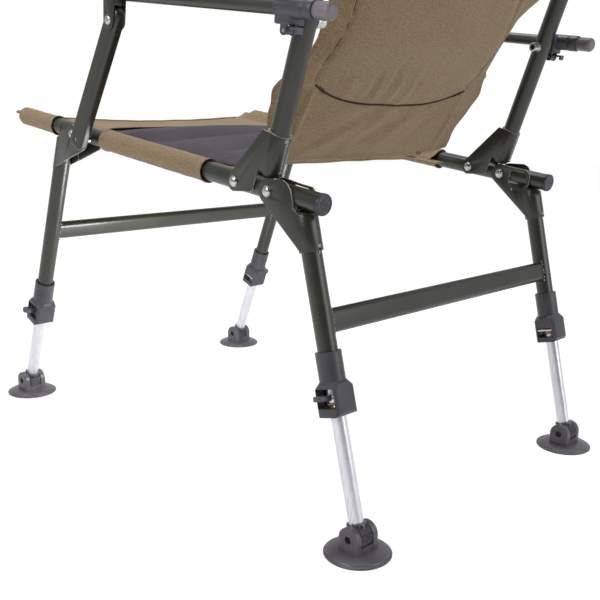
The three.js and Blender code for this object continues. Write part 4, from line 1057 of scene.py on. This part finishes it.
def seat_deck():
    wide, long = 2 * DECK_HALF, SEAT_REAR - SEAT_FRONT

    def shape(u, v):
        x = DECK_HALF * (2 * u - 1)
        y = SEAT_FRONT + long * v
        y += 10 * (hem_bow(x, False) * max(0, 0.1 - v) + hem_bow(x, True) * max(0, v - 0.9))
        return x, y, deck_level(x, y) + 0.8

    deck = piece("seat_deck", thickened(cloth_grid(110, 120, shape, wide, long), 1.6), SEAT, "seat", KHAKI,
                 "seat_cover", 60)
    for end, edge, inset in (("front", SEAT_FRONT, 9), ("rear", SEAT_REAR, -9)):
        line = []
        for i in range(80):
            x = -222 + i * 444 / 79
            y = edge + inset + hem_bow(x, inset < 0)
            line.append((x, y, deck_level(x, y) + 0.9))
        stitches(f"seat_{end}_stitches", line, SEAT, "seat")
        cord(f"seat_{end}_hem", [(x, y - inset * 0.9, z - 0.9) for x, y, z in line], 2.1, SEAT, "seat", KHAKI)


def sleeve_outline(share):
    """A loop of cloth round a rail whose two layers meet in a flat tail inboard."""
    touch = math.acos(LOOP / TAIL)
    straight = math.sqrt(TAIL ** 2 - LOOP ** 2)
    around = (math.tau - 2 * touch) * LOOP
    run = share * (2 * straight + around)
    tip = Vector((-TAIL, 0))
    meets = [LOOP * Vector((math.cos(a), math.sin(a))) for a in (math.pi - touch, math.pi + touch)]
    if run < straight:
        return tip.lerp(meets[0], run / straight)
    if run > straight + around:
        return meets[1].lerp(tip, (run - straight - around) / straight)
    angle = math.pi - touch - (run - straight) / LOOP
    return LOOP * Vector((math.cos(angle), math.sin(angle)))


def seat_sleeves():
    for name, y0, y1, rows in (("front", -574, -443, 64), ("long", -305, -66, 92)):
        closing = name == "front"

        def spot(share, y):
            place = sleeve_outline(share)
            inboard = eased(-place.x, 12, 30)
            hem = 1.1 * (1 - eased(y1 - y, 4, 9)) + 1.1 * (1 - eased(y - y0, 4, 9)) * (not closing)
            puff = 0.45 * rumple(place.x * 1.5, y + 3 * place.y, 11, 5) + 0.5 * rumple(place.x, y * 0.5, 30, 8)
            grow = 1 + (hem + puff) / LOOP * (1 - inboard)
            shut = min(1, max(0, (-y - 547) / 15)) if closing else 0
            x = place.x * grow * (1 - 0.6 * shut * (1 - inboard))
            level = deck_level(DECK_HALF - 12, y) * inboard
            pinch = math.copysign(1.6, place.y) * eased(-place.x, 18, 30) if place.y else 0
            return x, y, place.y * grow * (1 - 0.8 * shut) + level + pinch + 3 * shut * (1 - inboard)

        bm = cloth_grid(76, rows, lambda u, v: spot(u, y0 + (y1 - y0) * v), 124, y1 - y0)
        made = pair(f"seat_sleeve_{name}", thickened(bm, 1.0), *ON_RAILS, KHAKI, sharp=60)
        start = y0 + 28 if closing else y0 + 3
        for (side, sign), obj in zip(SIDES.items(), made):
            for share in (0.065, 0.1):
                line = [spot(share, start + (y1 - 3 - start) * i / 60) for i in range(61)]
                stitches(f"seat_sleeve_{name}_stitches_{side}_{round(share * 1000)}",
                         [(sign * (RAIL_SPAN + x), y, z + 0.3) for x, y, z in line], SEAT, "seat")


def across_fade(share):
    """1 in the middle of a pad and down to 0 at its sides."""
    edge = 0.16
    return 1 - max(0, (abs(share) - 1 + edge) / edge) ** 2.2


def quilt_rows(seams):
    """Where the rows of a quilted pad lie, and which of them are sewn."""
    rows, sewn = [seams[0]], {0}
    for start, end in zip(seams, seams[1:]):
        count = max(4, round(abs(end - start) / QUILT_CELL))
        rows += [start + (end - start) * i / count for i in range(1, count + 1)]
        sewn.add(len(rows) - 1)
    return rows, sewn


def quilted(half, seams, under, height):
    """A closed pad of channels. under(x, along, lift) is where it lies, height(share, along, fullness) how thick
    it is there, with fullness 0 on a seam and 1 between two."""
    rows, sewn = quilt_rows(seams)
    last = len(rows) - 1

    def full(along):
        for start, end in zip(seams, seams[1:]):
            if min(start, end) <= along <= max(start, end):
                return abs(math.sin(math.pi * (along - start) / (end - start))) ** 0.55
        return 0

    def skin(lift):
        def shape(u, v):
            along = rows[round(v * last)]
            share = 2 * u - 1
            thick = 0 if on_rim(u, v) else lift * height(share, along, full(along))
            return under(share * half, along, thick)
        return shape

    def held(u, v):
        return round(v * last) in sewn or on_rim(u, 0.5)

    return two_skins(round(2 * half / QUILT_CELL), last, skin(1), skin(0), 2 * half, abs(seams[-1] - seams[0]), held)


def seam_path(half, along, under, height):
    """Where a seam runs across a quilted pad."""
    return [under(half * s, along, height(s, along, 0)) for s in (2 * i / 60 - 1 for i in range(61))]


def seat_cushion():
    front, step = PAD_SEAMS[:2]

    def under(x, y, lift):
        shift = 6 * (1 - (x / PAD_HALF) ** 2) * eased(-y, 74, 180) * (1 - eased(-y, 388, 476))
        return x, y - shift, deck_level(x, y) + 1.9 + lift

    def height(share, y, fullness):
        middle = (1 - share * share) * eased(-y, 60, 130) * (1 - 0.85 * eased(-y, 270, 440))
        return 1.8 + 13 * middle + (8.5 - 7 * eased(-y, 380, 400)) * fullness * across_fade(share)

    def border(u, v):
        share, y = 2 * u - 1, front - 2 + (step - front + 4) * v
        lift = height(0.99 * share, y, 0.5) + 1.6 - 2.5 * max(0, abs(share) - 0.985) / 0.015
        return under(share * (PAD_HALF + 1.5), y, lift)

    pad = piece("seat_cushion", quilted(PAD_HALF, PAD_SEAMS, under, height), SEAT, "seat", CHARCOAL, "seat_pad", 70)
    stuffed(pad, 4, 0.002, 0.015)
    piece("seat_cushion_border", thickened(cloth_grid(100, 24, border, 403, 92), 1.2), SEAT, "seat", KHAKI, sharp=60)
    for number, along in enumerate(PAD_SEAMS[1:-1]):
        stitches(f"seat_cushion_stitches_{number}", seam_path(PAD_HALF - 4, along, under, height), SEAT, "seat",
                 *PAD_SEWING, (0, 0, 0.2))
        # A dark cord sunk in each seam: painted shade in the seam's crease.
        sunk = [(x, y, z - 0.2) for x, y, z in seam_path(PAD_HALF - 2, along, under, height)]
        cord(f"seat_cushion_seam_{number}", sunk, 0.8, SEAT, "seat", ("charcoal_pad", PIPING_AND_SHADE_CORD[1]))


# Back cloth

HEM = -6
WRAP = 314.5
CLOTH_TOP = 628
SEAM_X = 165
EDGE = ((-8, 213), (13, 211), (53, 205), (87, 215), (112, 222), (143, 207), (156, 194), (180, 190), (229, 197),
        (290, 229), (322, 244), (572, 244), (634, 244))
CREASES = (
    (148, 14, 40, 62, 9, 2.6), (135, 27, 20, 92, 7, -1.6), (66, 10, -18, 98, 10, 2.4), (95, 6, -60, 84, 8, -1.8),
    (-10, 22, -80, 100, 12, 2.2), (-60, 20, -130, 96, 9, -1.5), (150, 60, 60, 92, 10, 1.6),
    (-120, 16, -60, 60, 12, 1.5), (98, 107, 106, 136, 5, 1.8), (56, 104, 60, 150, 6, -2.2),
    (40, 104, 52, 140, 5, 1.8), (22, 104, 30, 164, 6, -2.0), (6, 104, 12, 140, 5, 1.5), (-34, 106, -30, 140, 6, -1.6),
    (-20, 104, -14, 170, 7, 1.4), (78, 104, 84, 132, 5, -1.4), (-70, 108, -72, 140, 6, 1.2),
    (120, 112, 128, 136, 5, -1.3), (-178, 196, -196, 160, 6, 1.6), (182, 200, 196, 165, 6, 1.4),
    (178, 100, 205, 60, 7, 1.5), (-180, 96, -200, 50, 7, 1.8), (-120, 330, -60, 440, 22, 1.4),
    (90, 360, 120, 520, 24, 1.5), (162, 122, 186, 116, 4, -2.2), (164, 128, 188, 122, 4, 1.4),
    (-166, 142, -204, 143, 4, -2.2), (-166, 149, -202, 150, 4, 1.4),
)


def cloth_plane(z, x=0):
    """Where the back cloth hangs: from the uprights' axis to the seat, bowed rearward above the piping."""
    bow = 12 * eased(z, 130, 200) * (1 - eased(z, 200, 290)) * (1 - eased(abs(x), 162, 192))
    return BACK_TRAIL - max(0, WRAP - z) * 0.25772 + bow


def strip_lean(x, z):
    """How far the strip outside the seam leans forward to the cloth's edge."""
    return 0.13 * max(0, abs(x) - SEAM_X) * (1 - eased(z, 230, 300))


def cloth_half(z):
    """Half the back cloth's width at a height, smooth between the measured ones."""
    for (z0, w0), (z1, w1) in zip(EDGE, EDGE[1:]):
        if z <= z1:
            return w0 + (w1 - w0) * eased(z, z0, z1)
    return EDGE[-1][1]


def piping_height(x):
    return 96 + 28 * (abs(x) / SEAM_X) ** 3


def hem_height(x):
    return 6.5 + 0.11 * max(0, -x - 100)


def crease(x, z):
    """Soft ridges and valleys along measured lines, fading at their ends."""
    total = 0
    for x0, z0, x1, z1, width, depth in CREASES:
        run = Vector((x1 - x0, z1 - z0))
        spot = Vector((x - x0, z - z0))
        share = spot.dot(run) / run.length_squared
        if -0.4 < share < 1.4:
            off = (spot.x * run.y - spot.y * run.x) / run.length
            if abs(off) < 3 * width:
                fade = eased(share, -0.3, 0.25) * (1 - eased(share, 0.7, 1.35))
                total += depth * fade * math.exp(-(off / width) ** 2)
    return total


def back_relief(x, z):
    """How far the rear skin stands behind the plane of the back cloth."""
    out = abs(x)
    inside = 1 - eased(out, SEAM_X - 26, SEAM_X)
    over = z - piping_height(x)
    crown = 8 * (1 - (x / SEAM_X) ** 2) ** 0.5 if out < SEAM_X else 0
    full = crown * eased(over, 0, 34) * (1 - 0.8 * eased(z, 540, 600))
    belly = 3.5 * inside * eased(z, 150, 240) * (1 - eased(z, 300, 420))
    step = 2.6 * eased(z, 113, 118) if x > 0 else 2.6 * eased(z, 140, 145)
    outer = eased(out, SEAM_X - 2, SEAM_X + 3)
    strip = outer * (step - 1.2 - strip_lean(x, z))
    ridge = 3.2 * math.exp(-((out - SEAM_X + 3) / 5) ** 2) * (1 - eased(z, 108, 122)) * eased(z, 10, 40)
    seam = -3 * math.exp(-((out - SEAM_X) / 2.8) ** 2) * eased(over, -2, 6) * (1 - eased(z, 590, 600))
    pipe_dent = -1.6 * math.exp(-(over / 3.5) ** 2) * inside
    hem = 1.1 * (1 - eased(z - hem_height(x), 7, 8.6))
    fine = 0.5 * rumple(x, z, 23, 2) + 0.28 * rumple(x * 1.6, z, 9, 4)
    return full + belly + strip + ridge + seam + pipe_dent + hem + fine + crease(x, z)


def back_spot(x, z, lift=0):
    """A point on the rear skin, raised off it by lift."""
    return x, cloth_plane(z, x) + 1.4 + back_relief(x, z) + lift, z


def back_cloth():
    def at(u, v):
        level = HEM + (CLOTH_TOP - HEM) * v
        x = (2 * u - 1) * cloth_half(level)
        shoulder = max(0, level - BACK_TOP + BACK_BEND)
        x *= 1 - (BACK_BEND - math.sqrt(BACK_BEND ** 2 - min(shoulder, BACK_BEND) ** 2)) / 260
        return x, level + (hem_height(x) - HEM) * (1 - eased(level, HEM, 52))

    def rear(u, v):
        x, z = at(u, v)
        return (x, cloth_plane(z, x) - 0.4 - strip_lean(x, z), z) if on_rim(u, v) else back_spot(x, z)

    def front(u, v):
        if on_rim(u, v):
            return rear(u, v)
        x, z = at(u, v)
        fold = 0.35 * rumple(x, z, 26, 7) + 0.4 * crease(x, z) * (z < 112)
        return x, cloth_plane(z, x) - 1.6 - strip_lean(x, z) + fold, z

    def raised(lift, points):
        return [back_spot(x, z, lift) for x, z in points]

    def sewn(name, lift, points):
        hang(stitches(name, raised(lift, points), BACK, None))

    def laid(name, path, radius, look):
        hang(cord(name, path, radius, BACK, None, look))

    panel = piece("back_cloth", two_skins(124, 168, rear, front, 460, 634), BACK, None, KHAKI,
                  ["back_cover_upper", "back_cover_lower"], 60)
    hang(panel)
    across = (-161 + 322 * i / 90 for i in range(91))
    # The piping's dark cord also paints the shade under the upper panel's overhanging edge.
    laid("back_piping", raised(0.7, [(x, piping_height(x)) for x in across]), 1.25, PIPING_AND_SHADE_CORD)
    tacks = ((146, 116), (151, 118), (142, 114), (128, 15), (135, 13))
    for side, sign in SIDES.items():
        # A thin dark cord down each seam: painted shade in its crease.
        laid(f"back_seam_shade_{side}", raised(0.4, [(sign * SEAM_X, z) for z in range(126, 592, 6)]), 0.75, SEAM_SHADE)
        for number, (x, z) in enumerate(tacks):
            if z > 20 or sign < 0:
                tack = [back_spot(sign * x, z - 2.6, 1.0), back_spot(sign * (x + 1.2), z + 2.6, 1.2)]
                laid(f"back_tack_{side}_{number}", tack, 0.75, DARK_THREAD)
        sewn(f"back_strip_stitches_{side}", 0.15, [(sign * (SEAM_X + 5), z) for z in range(150, 585, 6)])
        sewn(f"back_sleeve_stitches_{side}", 0.2, [(sign * 230, z) for z in range(330, 560, 6)])
    sewn("back_hem_stitches", 0.15, [(x, hem_height(x) + 5.6) for x in range(-200, 201, 8)])


def hang(obj):
    """Bakes the place of the back cloth, or of a piece sewn to it, into its mesh."""
    start = BACK @ Vector((0, cloth_plane(112), 112)) * MM
    end = BACK @ Vector((0, cloth_plane(HEM), HEM)) * MM
    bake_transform(obj)
    return obj


def back_sleeve():
    """The cloth tunnel over the uprights and the top of the frame."""
    radius, bend = 13.7, BACK_TOP - BACK_BEND
    bm = back_tube(radius, WRAP)
    bmesh.ops.subdivide_edges(bm, edges=[e for e in bm.edges if e.calc_length() > 40], cuts=46, use_grid_fill=True)
    woven(bm, lambda spot: (math.atan2(spot.y - BACK_TRAIL, 6) * 14, spot.z + spot.x))
    for vert in bm.verts:
        x, y, z = vert.co
        hem = 0.5 * (1 - eased(z - WRAP, 5, 8))
        grow = hem + 0.4 * rumple(x + y * 2, z, 12, 6) + 0.5 * rumple(x, z * 0.5 + y, 32, 9)
        vert.co.y = BACK_TRAIL + (y - BACK_TRAIL) * (1 + grow / radius)
        if z < bend:
            axis = math.copysign(RAIL_SPAN, x)
            vert.co.x = axis + (x - axis) * (1 + grow / radius)
    sleeve = piece("back_sleeve", thickened(bm, 1.0), BACK, "backrest", KHAKI, sharp=60)


def back_cushion():
    seams = (270, 376, 482, 588)

    def under(x, z, lift):
        return x, cloth_plane(z) - 3.2 - lift, z

    def height(share, z, fullness):
        middle = (1 - share * share) * (1 - eased(z, 520, 588)) * eased(z, 270, 330)
        return 1.8 + 4 * middle + 9.5 * fullness * across_fade(share)

    pad = piece("back_cushion", quilted(196, seams, under, height), BACK, "backrest", CHARCOAL, "back_pad", 70)
    stuffed(pad, 4, 0.004)
    for number, along in enumerate(seams[1:-1]):
        stitches(f"back_cushion_stitches_{number}", seam_path(192, along, under, height), BACK, "backrest",
                 *PAD_SEWING, (0, -0.2, 0))


# Stage

def stage():
    """Floor and walls that the camera sees nearly white, while the chair mirrors softer, darker ones; and lights."""
    bpy.ops.mesh.primitive_plane_add(size=14, location=(0, 0, 0))
    floor = bpy.context.object
    floor.name = "floor"
    ground = bpy.data.materials.new("pale_floor")
    nodes = Nodes(ground, "ShaderNodeOutputMaterial")
    mirrored = nodes.node("ShaderNodeMath", {0: nodes.rays("Glossy"), 1: 0.5, 2: 0}, operation="MULTIPLY_ADD")
    share = nodes.node("ShaderNodeMath", {0: nodes.rays("Camera"), 1: 0.8, 2: mirrored}, operation="MULTIPLY_ADD")
    plain = nodes.node("ShaderNodeBsdfDiffuse", {0: (0.86, 0.86, 0.86, 1)})
    glow = nodes.node("ShaderNodeEmission", {0: (1, 1, 1, 1), 1: 1.16})
    nodes.show(nodes.node("ShaderNodeMixShader", {0: share, 1: plain, 2: glow}))
    floor.data.materials.append(ground)

    world = bpy.data.worlds.new("studio")
    bpy.context.scene.world = world
    nodes = Nodes(world, "ShaderNodeOutputWorld")
    heading = nodes.node("ShaderNodeTexCoord", output="Generated")
    toward = nodes.node("ShaderNodeVectorMath", {0: heading, 1: (0.68, 0.66, 0.32)}, "Value", operation="DOT_PRODUCT")
    soft = nodes.node("ShaderNodeBackground", {1: toward.clamped(-0.5, 0.8, 0.86, 0.08)})
    seen = nodes.node("ShaderNodeBackground", {0: (1, 1, 1, 1), 1: 1.02})
    nodes.show(nodes.node("ShaderNodeMixShader", {0: nodes.rays("Camera"), 1: soft, 2: seen}))
    for name, place, target, size, watts in (
            ("key", (2.3, 0.1, 1.9), (0, 0, 0.4), 1.5, 44), ("fill", (-0.9, 2.7, 1.3), (0, 0, 0.4), 2.2, 36),
            ("under_seat", (0.05, -0.02, 0.19), (0, -0.42, 0.22), 0.16, 2),
            ("top", (-0.3, -0.2, 3), (0, 0, 0.4), 2, 58)):
        area_light(name, place, target, size, watts)
    bpy.context.scene.view_settings.view_transform = "Standard"


for build in (rails, leg_frames, backrest_frame, armrests, seat_deck, seat_sleeves, seat_cushion, back_cloth,
              back_sleeve, back_cushion, camera, stage):
    build()
